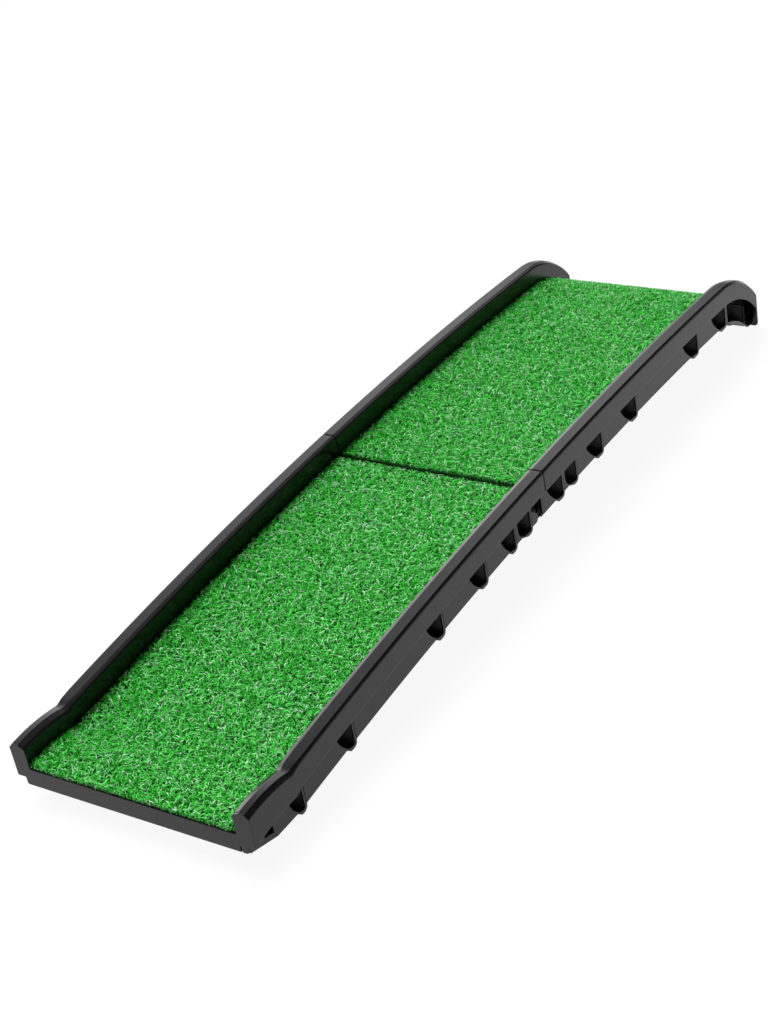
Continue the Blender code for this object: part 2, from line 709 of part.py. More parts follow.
def fold_latch():
    """Swivel latch, stowed along the left skirt, with a throat that takes the keeper stud."""
    half, tip = LATCH_WIDTH / 2, LATCH_TIP_WIDTH / 2
    throat = STUD_RADIUS + STUD_CLEARANCE
    length = LATCH_REACH
    points = [(0, -half), (length - 1.6 * tip, -half), (length - 1.2 * tip, -tip), (length - throat, -tip)]
    points += arc((length, 0), throat, 180, 0, 8)
    points += [(length + throat, -tip * 0.8), (length + 0.85 * tip, -tip * 0.8), (length + tip, -tip * 0.5)]
    points += [(length + tip, tip * 0.5), (length + tip * 0.5, tip), (length - tip, tip)]
    points += [(length - 1.6 * tip, half)]
    points += arc((0, 0), half, 90, 270, 12)[:-1]
    turn = Matrix.Rotation(LATCH_STOWED, 2)
    outline = [turn @ Vector(point) + Vector(LATCH_PIVOT) for point in points]
    hole = circle(LATCH_PIVOT, SCREW_HOLE)
    latch = prism("fold_latch", [[tuple(point) for point in outline], hole], -LATCH_OUTER_X, -LATCH_INNER_X)
    return finish(latch, LATCH_PLASTIC, model, 30)


def lock_nut(name, centre):
    """Hexagonal nut against the inner end of a boss."""
    seat = -SKIRT_X + SKIRT_WALL + BOSS_LENGTH + SEAT_GAP
    nut = prism(name, [circle(centre, NUT_RADIUS, 6), circle(centre, SCREW_HOLE)], seat, seat + NUT_THICKNESS)
    finish(nut, STEEL, model)


def latch_hardware():
    """Pivot screw and washer of the latch, the keeper stud on the upper half, and their nuts."""
    head = LATCH_OUTER_X + SEAT_GAP
    tip = SKIRT_X - SKIRT_WALL - BOSS_LENGTH - SEAT_GAP - NUT_THICKNESS - THREAD_PAST_NUT
    pivot = Vector((0, *LATCH_PIVOT))
    screw = [(0, -tip), (LATCH_SCREW_RADIUS, -tip), (LATCH_SCREW_RADIUS, -head)]
    screw += [(LATCH_SCREW_HEAD_RADIUS, -head), (LATCH_SCREW_HEAD_RADIUS * 0.7, -head - LATCH_SCREW_HEAD)]
    screw += [(0, -head - LATCH_SCREW_HEAD)]
    turned("latch_screw", screw, False, pivot, STEEL)
    near = SKIRT_X + SEAT_GAP
    far = near + LATCH_WASHER_THICKNESS
    washer = [(SCREW_HOLE, -near), (LATCH_WASHER_RADIUS, -near)]
    washer += [(LATCH_WASHER_RADIUS, -far), (SCREW_HOLE, -far)]
    turned("latch_washer", washer, True, pivot, STEEL)
    shoulder = SKIRT_X + SEAT_GAP
    stud = [(0, -tip), (LATCH_SCREW_RADIUS, -tip), (LATCH_SCREW_RADIUS, -shoulder), (STUD_RADIUS, -shoulder)]
    stud += [(STUD_RADIUS, -head), (STUD_HEAD_RADIUS, -head), (STUD_HEAD_RADIUS * 0.8, -head - STUD_HEAD)]
    stud += [(0, -head - STUD_HEAD)]
    turned("keeper_stud", stud, False, Vector((0, *KEEPER)), STEEL)
    lock_nut("latch_nut", LATCH_PIVOT)
    lock_nut("keeper_nut", KEEPER)


def pivot_empty(name, place_yz):
    """Empty on a joint's axis."""
    empty = bpy.data.objects.new(name, None)
    empty.empty_display_type = "ARROWS"
    empty.empty_display_size = 0.05
    empty.location = (0, *place_yz)
    model.objects.link(empty)
    return empty


def attach(names, parent):
    """Parent pieces to an empty without moving them."""
    bpy.context.view_layer.update()
    for name in names:
        piece = bpy.data.objects[name]
        world = piece.matrix_world.copy()
        piece.parent = parent
        piece.matrix_parent_inverse = parent.matrix_world.inverted()
        piece.matrix_world = world


def folded(point):
    """Where a point of the upper half stands when the ramp is folded."""
    away = Vector(point) - Vector((SEAM_Y, HINGE_HEIGHT))
    return Matrix.Rotation(-FOLD_ANGLE, 2) @ away + Vector((SEAM_Y, HINGE_HEIGHT))


for leftover in list(bpy.data.objects):
    bpy.data.objects.remove(leftover)

model = new_collection("folding_dog_ramp")
guides = new_collection("guides")

UPPER_STRETCH = LENGTH - SEAM_FROM_GROUND_END - HOOK_RIBS_FROM_END[0]
LOWER_TROUGH_PLACES = trough_places(LOWER_TROUGHS, -SEAM_FROM_GROUND_END)
LOWER_TROUGH_PLACES.append((RISE_Y, REST_TROUGH_WIDTH, True))
UPPER_TROUGH_PLACES = trough_places(UPPER_TROUGHS, UPPER_STRETCH)
HINGE_HEIGHT = crown(SEAM_Y) - BODY_DEPTH - HINGE_BELOW_BODY
SCREW_HOLE = LATCH_SCREW_RADIUS + SEAT_GAP
LATCH_INNER_X = SKIRT_X + LATCH_WASHER_THICKNESS + 2 * SEAT_GAP
LATCH_OUTER_X = LATCH_INNER_X + LATCH_THICKNESS
LATCH_FROM_SEAM = LENGTH - SEAM_FROM_GROUND_END - LATCH_FROM_HOOK_END
LATCH_PIVOT = (SEAM_Y - LATCH_FROM_SEAM, crown(SEAM_Y - LATCH_FROM_SEAM) - LATCH_DEPTH)
KEEPER = (SEAM_Y + LATCH_FROM_SEAM, crown(SEAM_Y + LATCH_FROM_SEAM) - LATCH_DEPTH)
LATCH_LINE = folded(KEEPER) - Vector(LATCH_PIVOT)
LATCH_REACH = LATCH_LINE.length
LATCH_STOWED = math.atan((crown(LATCH_PIVOT[0] + LATCH_REACH) - crown(LATCH_PIVOT[0])) / LATCH_REACH)

lower_panel()
upper_panel()
mat("lower_turf_mat", GROUND_Y + MAT_FROM_NOSE, SEAM_Y - MAT_FROM_SEAM)
mat("upper_turf_mat", SEAM_Y + MAT_FROM_SEAM, HOOK_Y - MAT_FROM_HOOK_END)
hinge_pin("left", -1)
hinge_pin("right", 1)
feet()
fold_latch()
latch_hardware()

upper_pieces = ["upper_panel", "upper_turf_mat", "hook_foot_left", "hook_foot_right"]
upper_pieces += ["keeper_stud", "keeper_nut"]
attach(upper_pieces, pivot_empty("fold_axis", (SEAM_Y, HINGE_HEIGHT)))
attach(["fold_latch"], pivot_empty("latch_axis", LATCH_PIVOT))
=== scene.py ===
"""Looks of the folding dog ramp: moulded panels, curled turf, hinge, latch and feet, in a white studio."""

import math

import bmesh
import bpy
import numpy as np
from mathutils import Euler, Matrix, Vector


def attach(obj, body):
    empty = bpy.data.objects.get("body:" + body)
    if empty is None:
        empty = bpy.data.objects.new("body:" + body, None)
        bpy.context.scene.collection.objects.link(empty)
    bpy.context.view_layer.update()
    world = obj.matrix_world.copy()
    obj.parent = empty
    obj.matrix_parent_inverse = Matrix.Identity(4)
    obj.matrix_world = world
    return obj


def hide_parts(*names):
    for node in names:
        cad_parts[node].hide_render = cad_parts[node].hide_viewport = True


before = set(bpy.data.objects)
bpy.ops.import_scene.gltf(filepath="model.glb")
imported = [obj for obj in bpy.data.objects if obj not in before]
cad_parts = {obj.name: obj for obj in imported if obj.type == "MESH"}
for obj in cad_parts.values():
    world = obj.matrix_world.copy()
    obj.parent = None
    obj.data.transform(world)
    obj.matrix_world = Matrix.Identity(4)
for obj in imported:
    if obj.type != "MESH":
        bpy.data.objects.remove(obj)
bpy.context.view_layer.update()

# Overall sizes, in metres
LENGTH = 1.556
WIDTH = 0.405
SEAM_FROM_GROUND_END = 0.775
BODY_DEPTH = 0.083
SEAM_GAP = 0.0003
FOOT_THICKNESS = 0.0020

# Crown line, which is the top of the rails seen from the side
TOE_LENGTH = 0.095
TOE_STEP = 0.011
TOE_BULGE = 0.0045
TOE_BELOW_RISE = 0.0005
KINK_BELOW_RISE = 0.0033
ARCH_ABOVE_RISE = 0.0534
ARCH_TOP_FROM_HOOK_END = 0.506
ARCH_POWER = 2.15
HOOK_START_BELOW_ARCH = 0.00992
HOOK_LENGTH = 0.129
HOOK_DROP = 0.0686

# Rails
RAIL_WIDTH = 0.027
RAIL_WALL = 0.0030
HOLLOW_DEPTH = 0.0070
BAND_ROUNDING = 0.0014
BAND_DEPTH = 0.036
TOE_BAND_DEPTH = 0.054
BAND_FADE = 0.120

# Shoulders along the rails' inner and outer edge, as (distance across, depth below the crown), first on
# the straight and then at the ends, the distances from an end between which one fades into the other, and
# the rounding of the six points from the inner edge to the outer one
INNER_SHOULDER = ((0.0, 0.0040), (0.0012, 0.0020), (0.0072, 0.0002))
END_INNER_SHOULDER = ((0.0, 0.0060), (0.0024, 0.0036), (0.0110, 0.0))
OUTER_SHOULDER = ((0.0, 0.0050), (0.0008, 0.0032), (0.0030, 0.0))
END_OUTER_SHOULDER = ((0.0, 0.0064), (0.0008, 0.0050), (0.0063, 0.0))
SHOULDER_FADE = (0.070, 0.130)
TOP_ROUNDING = (0.0010, 0.0020, 0.0030, 0.0012, 0.0012, 0.0012)

# Seam in the rails: a rounded groove, and a tongue of the lower rail that reaches across it
SEAM_ROUNDING = 0.0014
SEAM_ROUNDING_STEPS = (0.35, 0.7, 1.0)
RAIL_SEAM_GAP = 0.0006
TONGUE_REACH = 0.0025
TONGUE_LENGTH = 0.0065
TONGUE_ROOT = 0.0030
TONGUE_CLEARANCE = 0.0004
TONGUE_GRIP = 0.0010

# Deck, skirts and end walls
DECK_DEPTH = 0.042
TOE_DECK_DEPTH = 0.0375
DECK_FADE_START = 0.060
DECK_FADE_END = 0.150
DECK_WALL = 0.0030
SKIRT_RECESS = 0.014
SKIRT_WALL = 0.0030
END_WALL = 0.0042
END_TAB_RECESS = 0.008
END_TAB_DEPTH = 0.074
NOSE_DEPTH = 0.066
NOSE_CORNER = 0.0035
NOSE_SLOT_SIDES = (0.1762, 0.1784)
NOSE_SLOT_HEIGHT = 0.0095
LIP_FILLET = 0.0030
HOOK_CORNER = 0.006
TRAY_INSIDE_SKIRT = 0.0006
RIB_INSIDE_SKIRT = 0.0012
DECK_FROM_SEAM = 0.0005
TAPER_LENGTH = 0.058
SOLE_WALL = 0.0032

# Troughs moulded across the underside, as distance from the seam and width, both in shares of the stretch
# they fill, and whether the wall on the -Y side leans
LOWER_TROUGHS = (
    (0.063, 0.0568, False),
    (0.126, 0.0594, True),
    (0.244, 0.0671, True),
    (0.403, 0.0619, True),
    (0.708, 0.0568, True),
)
UPPER_TROUGHS = (
    (0.0721, 0.0779, True),
    (0.1465, 0.0606, False),
    (0.2615, 0.0837, True),
    (0.4361, 0.0866, True),
    (0.7754, 0.0895, True),
    (0.9410, 0.0895, True),
)
REST_TROUGH_WIDTH = 0.038
TROUGH_DROP = 0.0075
TROUGH_WALL = 0.0026
TROUGH_ROUNDING = 0.009

# Wall of a trough on its -Y side, as (share of its width, depth below the crown), then its inward direction,
# how many of its points reach down to the belly, and where the trough's flat bottom starts
LEANING_WALL = (
    (0.0, 0.0525),
    (0.065, 0.0594),
    (0.13, 0.0653),
    (0.20, 0.0703),
    (0.27, 0.0745),
    (0.355, 0.0790),
    (0.44, BODY_DEPTH),
    (0.55, 0.0872),
)
UPRIGHT_WALL = (
    (0.0, 0.0525),
    (0.0, 0.0600),
    (0.0, 0.0660),
    (0.015, 0.0705),
    (0.05, 0.0748),
    (0.12, 0.0793),
    (0.25, BODY_DEPTH),
    (0.45, 0.0868),
)
WALL_INWARD = (0.75, 0.66)
WALL_DOWN_TO_BELLY = 7
TROUGH_FLAT_START = 0.64

# Thicker rim that shows round the +Y side and the bottom of a trough's mouth, and how many points of the
# -Y wall it takes in
MOUTH_RIM = 0.0050
MOUTH_RIM_DEPTH = 0.0020
RIM_WALL_POINTS = 2

# Boxes at the two ends, with windows in the skirts
TOE_WINDOW = (0.034, 0.053)
TOE_SILL = 0.0090
HOOK_BOX_LENGTH = 0.088
HOOK_RIB_FROM_END = 0.029
RIB_WALL = 0.0032
POST_WIDTH = 0.0046

# Short lug that ends the lower half's skirts, with its top's depths below the crown
SEAM_LUG_LENGTH = 0.018
SEAM_LUG_ROUNDING = 0.006
SEAM_LUG_DEPTHS = (0.056, 0.070)

# Fold hinge
HINGE_BELOW_BODY = 0.0095
KNUCKLE_RADIUS = 0.0080
KNUCKLE_WIDTH = 0.022
KNUCKLE_GAP = 0.0004
KNUCKLE_FROM_SEAM = 0.0004
KNUCKLE_CENTRE_X = 0.118
KNUCKLE_ARM_WIDTH = 0.017
KNUCKLE_ARM_HEIGHT = 0.040

# Screw bosses behind the left skirts
LATCH_FROM_HOOK_END = 0.306
LATCH_DEPTH = 0.062
BOSS_RADIUS = 0.0080
BOSS_LENGTH = 0.012

# Turf mats
MAT_THICKNESS = 0.0090
MAT_BACKING = 0.0022
MAT_LIFT = 0.0003
MAT_SIDE_GAP = 0.0010
MAT_FROM_NOSE = 0.004
MAT_FROM_SEAM = 0.0062
MAT_FROM_HOOK_END = 0.024
MAT_CORNER = 0.010
NOSE_OVERHANG = 0.0040

# Turf blades, with ranges for what is drawn at random. Jitter is a share of the spacing, root depth one of
# the backing and taper one of the width; angles are in radians
BLADE_SPACING = 0.0022
BLADE_JITTER = 0.6
BLADE_FROM_EDGE = 0.0015
BLADE_FROM_NOSE = 0.0005
BLADE_ROOT_DEPTH = 0.6
BLADE_WIDTH = 0.0012
BLADE_WIDTH_SHARES = (0.7, 1.15)
BLADE_TAPER = 0.55
BLADE_LENGTH = (0.009, 0.017)
BLADE_FIRST_LEAN = (0.0, 0.7)
BLADE_CURL = (0.8, 2.6)
BLADE_SPIN = 0.5
BLADE_TWIST = 1.3
BLADE_LEVELS = 6
PILE_OVER_MAT = 0.0006
PILE_ABOVE_DECK = 0.0004
LOWER_TURF_SEED = 11
UPPER_TURF_SEED = 12

# Edges
EDGE_ROUNDING = 0.0007
FACE_ROUNDING_STEPS = (1.0, 0.5, 0.0)
CORNER_REACH = 0.45
BEVEL_SEGMENTS = 2
BEVEL_DEGREES = 40
SMOOTH_DEGREES = 35

# How finely curves are cut, and the small distances that keep faces apart and numbers safe
FINE_STEP = 0.008
CORNER_STEPS = 4
ARC_POINTS = 9
LUG_POINTS = 6
BOSS_POINTS = 24
KNUCKLE_POINTS = 22
DECK_SAMPLES = 600
SKIN = 0.0002
TINY = 1e-6

# Places that follow from the sizes
GROUND_Y = -LENGTH / 2
HOOK_Y = LENGTH / 2
SEAM_Y = GROUND_Y + SEAM_FROM_GROUND_END
RISE_Y = GROUND_Y + TOE_LENGTH + TOE_STEP
RISE_HEIGHT = FOOT_THICKNESS + TROUGH_DROP + BODY_DEPTH
RAIL_INNER_X = WIDTH / 2 - RAIL_WIDTH
SKIRT_X = WIDTH / 2 - SKIRT_RECESS
END_TAB_X = WIDTH / 2 - END_TAB_RECESS
HOOK_DECK_X = RAIL_INNER_X + RAIL_WALL / 2
TRAY_X = SKIRT_X - TRAY_INSIDE_SKIRT
RIB_X = SKIRT_X - RIB_INSIDE_SKIRT
MAT_X = RAIL_INNER_X - MAT_SIDE_GAP

# Materials: where in a noise its two tones are full, the plastic's gloss, and the blades' tones
MOTTLE = (0.3, 0.7)
PLASTIC_GREY = (0.0055, 0.0075)
PLASTIC_ROUGHNESS = (0.19, 0.25)
PLASTIC_SPECULAR = 0.30
# The plastic inside the troughs and the hook has a much lighter grey than outside: painted light, standing
# for light that reaches in through the mouths and windows
PAINTED_LIGHT_GREY = (0.075, 0.095)
MATT_SPECULAR = 0.3
TURF_SPECULAR = 0.2
# Blade tones drawn at random: the greens are the blades' own colours, and the two lightest, whitish stops are
# painted highlights
TURF_TONES_AND_HIGHLIGHTS = (
    (0.0, (0.010, 0.300, 0.010)),
    (0.45, (0.040, 0.680, 0.040)),
    (0.75, (0.110, 0.860, 0.120)),
    (0.90, (0.350, 0.940, 0.380)),
    (1.0, (0.780, 0.980, 0.800)),
)
TURF_SHADE = ((0.0, 0.2), (0.6, 0.9), (1.0, 1.0))
BACKING_TONES = ((0.004, 0.030, 0.005), (0.010, 0.075, 0.012))
ZINC_TONES = ((0.50, 0.50, 0.51), (0.62, 0.61, 0.58))
ZINC_ROUGHNESS = (0.26, 0.40)
RUBBER_GREY = (0.012, 0.022)
LATCH_GREY = (0.010, 0.016)

# World light, by the direction it comes from: stronger toward +Y and -X by a lean. Each pair is the first and
# the last value, of the direction's X, Y or Z, between which a zone fades in: a dark one to the right above
# the horizon, a dimmer one overhead, a dimmer one behind the hooked end, and a glow low on the left
WORLD_LEVEL = 1.15
WORLD_LEAN = 0.55
DARK_ACROSS = (-0.25, 0.10)
DARK_ABOVE = (0.03, 0.22)
DARK_LEVEL = 0.04
OVERHEAD = (0.48, 0.78)
OVERHEAD_DIM = 0.70
BEHIND = (0.72, 0.90)
BEHIND_DIM = 0.80
GLOW_ACROSS = (-0.58, -0.70)
GLOW_ABOVE = (0.42, 0.30)
GLOW_LEVEL = 1.3

# Key light and floor
KEY_ENERGY = 3.6
KEY_FROM = (-0.35, 0.25, 1.0)
KEY_DEGREES = 40
FLOOR_HALF = 25.0
FLOOR_GREY = 0.93
FLOOR_WHITENING = 0.92

# Camera, at the photograph's viewing angle
CAMERA_PLACE = (1.5353, -2.0959, 1.5738)
CAMERA_TURN = (59.144, 9.284, 32.625)
CAMERA_LENS = 67.39
CAMERA_SENSOR = 36.0


def crown(y):
    """Height of the rail top: a bulged toe, a step, a long arch and the hook."""
    from_ground = y - GROUND_Y
    from_hook = HOOK_Y - y
    rise_start = TOE_LENGTH + TOE_STEP
    arch_height = RISE_HEIGHT + ARCH_ABOVE_RISE
    if from_ground < TOE_LENGTH:
        share = max(from_ground, 0.0) / TOE_LENGTH
        straight = TOE_BELOW_RISE + (KINK_BELOW_RISE - TOE_BELOW_RISE) * share
        return RISE_HEIGHT - straight + TOE_BULGE * 4 * share * (1 - share)
    if from_ground < rise_start:
        return RISE_HEIGHT - KINK_BELOW_RISE * (rise_start - from_ground) / TOE_STEP
    if from_hook > ARCH_TOP_FROM_HOOK_END:
        share = (from_hook - ARCH_TOP_FROM_HOOK_END) / (LENGTH - ARCH_TOP_FROM_HOOK_END - rise_start)
        return arch_height - ARCH_ABOVE_RISE * share**ARCH_POWER
    if from_hook > HOOK_LENGTH:
        share = (ARCH_TOP_FROM_HOOK_END - from_hook) / (ARCH_TOP_FROM_HOOK_END - HOOK_LENGTH)
        return arch_height - HOOK_START_BELOW_ARCH * share**2
    return hook_crown(HOOK_LENGTH - from_hook)


def hook_crown(run):
    """Height along the hook, an arc that starts in line with the arch and ends at its full drop."""
    start_slope = 2 * HOOK_START_BELOW_ARCH / (ARCH_TOP_FROM_HOOK_END - HOOK_LENGTH)
    start = math.atan(start_slope)
    end = 2 * math.atan(HOOK_DROP / HOOK_LENGTH) - start
    radius = HOOK_LENGTH / (math.sin(end) - math.sin(start))
    sine = math.sin(start) + min(run, HOOK_LENGTH) / radius
    hook_start = RISE_HEIGHT + ARCH_ABOVE_RISE - HOOK_START_BELOW_ARCH
    return hook_start - radius * (math.cos(start) - math.sqrt(1 - sine * sine))


def ease(value, start, end):
    """Share from 0 to 1, smooth at both ends."""
    share = min(max((value - start) / (end - start), 0.0), 1.0)
    return share * share * (3 - 2 * share)


def deck(y):
    """Height of the deck that carries the turf."""
    fade = ease(y - GROUND_Y, DECK_FADE_START, DECK_FADE_END)
    return crown(y) - TOE_DECK_DEPTH - (DECK_DEPTH - TOE_DECK_DEPTH) * fade


def ceiling(y):
    """Height of the deck's underside."""
    return deck(y) - DECK_WALL


def band(y):
    """Height of the lower edge of a rail's outer band."""
    share = min((y - GROUND_Y) / BAND_FADE, 1.0)
    return crown(y) - TOE_BAND_DEPTH - (BAND_DEPTH - TOE_BAND_DEPTH) * share


def belly(y):
    """Height of the lower edge of the skirts: a taper at the toe and a flat sole under the hook."""
    level = RISE_HEIGHT - BODY_DEPTH
    if y < RISE_Y:
        nose = crown(GROUND_Y) - NOSE_DEPTH
        share = min((y - GROUND_Y) / TAPER_LENGTH, 1.0)
        return nose + (level - nose) * share
    return max(crown(y) - BODY_DEPTH, FOOT_THICKNESS)


def lowered(line, depth):
    """The same height line, lower by a fixed depth."""
    return lambda y: line(y) - depth


def stations(start, end):
    """Places along Y where a side outline has its points."""
    marks = {start, end}
    for mark in (GROUND_Y + TAPER_LENGTH, GROUND_Y + TOE_LENGTH, RISE_Y, HOOK_Y - HOOK_LENGTH):
        if start + TINY < mark < end - TINY:
            marks.add(mark)
    marks = sorted(marks)
    places = []
    for first, second in zip(marks, marks[1:]):
        count = max(1, math.ceil((second - first) / FINE_STEP - TINY))
        places += [first + (second - first) * index / count for index in range(count)]
    return places + [end]


def strip(top, bottom, start, end):
    """Outline between two height lines."""
    places = stations(start, end)
    return [(y, top(y)) for y in places] + [(y, bottom(y)) for y in reversed(places)]


def arc(centre, radius, first_degrees, last_degrees, points):
    """Points along an arc in the YZ plane, both ends included."""
    first, last = math.radians(first_degrees), math.radians(last_degrees)
    turns = [first + (last - first) * index / (points - 1) for index in range(points)]
    return [(centre[0] + radius * math.cos(turn), centre[1] + radius * math.sin(turn)) for turn in turns]


def slab(cage, outline, left, right):
    """Add one outline of the YZ plane to a cage, extruded from one X to another."""
    near = [cage.verts.new((left, y, z)) for y, z in outline]
    far = [cage.verts.new((right, y, z)) for y, z in outline]
    faces = [cage.faces.new(list(reversed(near))), cage.faces.new(far)]
    for index in range(len(outline)):
        after = (index + 1) % len(outline)
        faces.append(cage.faces.new((near[index], near[after], far[after], far[index])))
    bmesh.ops.recalc_face_normals(cage, faces=faces)


def offset_path(points, distance, closed):
    """Path moved to its left by a distance, corner by corner."""
    count = len(points)
    moved = []
    for index, (x, z) in enumerate(points):
        across, up, sides = 0.0, 0.0, 0
        for first in (index - 1, index):
            if closed or 0 <= first < count - 1:
                (first_x, first_z), (second_x, second_z) = points[first % count], points[(first + 1) % count]
                length = math.hypot(second_x - first_x, second_z - first_z)
                across += (first_z - second_z) / length
                up += (second_x - first_x) / length
                sides += 1
        scale = distance * sides / (across * across + up * up)
        moved.append((x + across * scale, z + up * scale))
    return moved


def rounded(points, radii):
    """Closed path with each corner rounded by its own radius."""
    path = []
    for index, radius in enumerate(radii):
        corner = Vector(points[index])
        if radius == 0:
            path.append(corner)
            continue
        back = Vector(points[index - 1]) - corner
        ahead = Vector(points[(index + 1) % len(points)]) - corner
        reach = radius / math.tan(back.angle(ahead) / 2)
        reach = min(reach, CORNER_REACH * back.length, CORNER_REACH * ahead.length)
        start, end = corner + back.normalized() * reach, corner + ahead.normalized() * reach
        for step in range(CORNER_STEPS + 1):
            share = step / CORNER_STEPS
            inside = start.lerp(corner, share).lerp(corner.lerp(end, share), share)
            path.append(inside)
    return path


def loft(cage, loops):
    """Add a closed solid through loops of equally many points, with both ends capped."""
    rows = [[cage.verts.new(point) for point in loop] for loop in loops]
    faces = [cage.faces.new(list(reversed(rows[0]))), cage.faces.new(rows[-1])]
    for first, second in zip(rows, rows[1:]):
        for index in range(len(first)):
            after = (index + 1) % len(first)
            faces.append(cage.faces.new((first[index], first[after], second[after], second[index])))
    bmesh.ops.recalc_face_normals(cage, faces=faces)


def middle_slab(cage, outline, half_width):
    """Add a slab that reaches equally far to the left and to the right."""
    slab(cage, outline, -half_width, half_width)


def both_sides(cage, outline, inner, outer):
    """Add the same slab on the right and on the left."""
    slab(cage, outline, inner, outer)
    slab(cage, outline, -outer, -inner)


def place(name, cage):
    """Object of a cage in the scene."""
    mesh = bpy.data.meshes.new(name)
    cage.to_mesh(mesh)
    cage.free()
    thing = bpy.data.objects.new(name, mesh)
    bpy.context.scene.collection.objects.link(thing)
    return thing


def smooth(thing):
    """Smooth shading, with an edge kept sharp where its faces turn by more than an angle."""
    thing.data.shade_smooth()
    thing.data.set_sharp_from_angle(angle=math.radians(SMOOTH_DEGREES))


# Moulded panels


def shoulder(y, straight, at_end):
    """Points of one shoulder as (distance across, height), wider and deeper towards the ends."""
    share = ease(min(y - GROUND_Y, HOOK_Y - y), *SHOULDER_FADE)
    points = []
    for (across, down), (end_across, end_down) in zip(straight, at_end):
        height = crown(y) - end_down - (down - end_down) * share
        points.append((end_across + (across - end_across) * share, height))
    return points


def rail_top(y):
    """Top of the right rail from its inner to its outer wall."""
    inner = [(RAIL_INNER_X + across, z) for across, z in shoulder(y, INNER_SHOULDER, END_INNER_SHOULDER)]
    outer = [(WIDTH / 2 - across, z) for across, z in shoulder(y, OUTER_SHOULDER, END_OUTER_SHOULDER)]
    return inner + outer[::-1]


def rail_outline(y, inset):
    """Closed cross-section of the right rail in the XZ plane, hollow below, shrunk by an inset."""
    foot, ceiling_z = deck(y) - DECK_WALL / 2, crown(y) - HOLLOW_DEPTH
    near, far = RAIL_INNER_X + RAIL_WALL, WIDTH / 2 - RAIL_WALL
    outer = [(RAIL_INNER_X, foot)] + rail_top(y) + [(WIDTH / 2, band(y))]
    hollow = [(far, band(y)), (far, ceiling_z), (near, ceiling_z), (near, foot)]
    ring = rounded(outer + hollow, [0, *TOP_ROUNDING, BAND_ROUNDING, 0, 0, 0, 0])
    return offset_path([tuple(point) for point in ring], inset, True) if inset else ring


def add_rail(cage, side, plate_end, seam_end):
    """Hollow rail from an end plate to the seam, where its end is rounded."""
    toward = math.copysign(1, seam_end - plate_end)
    rounding_start = seam_end - toward * SEAM_ROUNDING
    places = stations(min(plate_end, rounding_start), max(plate_end, rounding_start))
    if toward < 0:
        places.reverse()
    loops = [(y, rail_outline(y, 0.0)) for y in places]
    for share in SEAM_ROUNDING_STEPS:
        y = rounding_start + toward * SEAM_ROUNDING * math.sin(share * math.pi / 2)
        inset = SEAM_ROUNDING * (1 - math.cos(share * math.pi / 2))
        loops.append((y, rail_outline(y, -inset)))
    loft(cage, [[(side * x, y, z) for x, z in loop] for y, loop in loops])


def add_seam_tongue(cage, side):
    """Plug in the end of a lower rail that reaches into the upper one and keeps light out of the seam."""
    top = crown(SEAM_Y) - HOLLOW_DEPTH
    foot = crown(SEAM_Y) - RAIL_WIDTH + TONGUE_CLEARANCE
    tip = SEAM_Y + TONGUE_REACH
    heel = tip - TONGUE_LENGTH
    free = (TONGUE_CLEARANCE, heel, tip)
    held = (-TONGUE_GRIP, heel - TONGUE_ROOT, heel + TONGUE_GRIP)
    for margin, start, end in (free, held):
        near, far = RAIL_INNER_X + RAIL_WALL + margin, WIDTH / 2 - RAIL_WALL - margin
        outline = [(start, foot), (end, foot), (end, top - margin), (start, top - margin)]
        slab(cage, outline, *sorted((side * near, side * far)))


def end_plate(cage, face_y, inward, half_bottom):
    """Wall across one end, from rail to rail; the half bottom lists (x, z, rounding) from the middle outward.

    The slot is on the right only.
    """
    top = list(zip(rail_top(face_y), TOP_ROUNDING))
    right = half_bottom + [(x, z, rounding) for (x, z), rounding in reversed(top)]
    right.append((RAIL_INNER_X, deck(face_y), LIP_FILLET))
    left = [(-x, z, rounding) for x, z, rounding in reversed(right) if x not in NOSE_SLOT_SIDES]
    outline = [(x, z) for x, z, rounding in right + left]
    radii = [rounding for x, z, rounding in right + left]
    loops = []
    for share in FACE_ROUNDING_STEPS:
        y = face_y + inward * EDGE_ROUNDING * (1 - math.sin(share * math.pi / 2))
        inset = EDGE_ROUNDING * (1 - math.cos(share * math.pi / 2))
        loops.append([(x, y, z) for x, z in rounded(offset_path(outline, inset, True), radii)])
    back = face_y + inward * END_WALL
    loops.append([(x, back, z) for x, z in rounded(outline, radii)])
    loft(cage, loops)


def trough_places(troughs, stretch):
    """Centre, width and lean of each trough; a stretch on the -Y side of the seam is negative."""
    return [(SEAM_Y + share * stretch, width * abs(stretch), leans) for share, width, leans in troughs]


def trough_wall(trough, offset):
    """Points down the -Y wall of a trough, moved inward by an offset."""
    centre, width, leans = trough
    across, up = (offset * part for part in WALL_INWARD)
    wall = LEANING_WALL if leans else UPRIGHT_WALL
    places = [(centre + (share - 0.5) * width, depth) for share, depth in wall]
    return [(y + across, crown(y) - depth + up) for y, depth in places]


def trough_path(trough, offset):
    """Path of a trough from its +Y side to its -Y side, shrunk inward by an offset."""
    centre, width = trough[:2]
    half = width / 2 - offset
    rounding = TROUGH_ROUNDING - offset
    bottom = crown(centre) - BODY_DEPTH - TROUGH_DROP + offset
    points = [(centre + half, ceiling(centre + half) + DECK_WALL / 2)]
    points += arc((centre + half - rounding, bottom + rounding), rounding, 0, -90, ARC_POINTS)
    points.append((centre + (TROUGH_FLAT_START - 0.5) * width, bottom))
    points += reversed(trough_wall(trough, offset))
    points.append((centre - half, ceiling(centre - half) + DECK_WALL / 2))
    return points


def mouth_rim(trough):
    """Outline of the rim round the +Y side and the bottom of a trough's mouth."""
    outer = trough_path(trough, 0.0)
    inner = trough_path(trough, MOUTH_RIM)
    flat_start = ARC_POINTS + 1
    return outer[:flat_start + 1 + RIM_WALL_POINTS] + inner[flat_start - 1::-1]


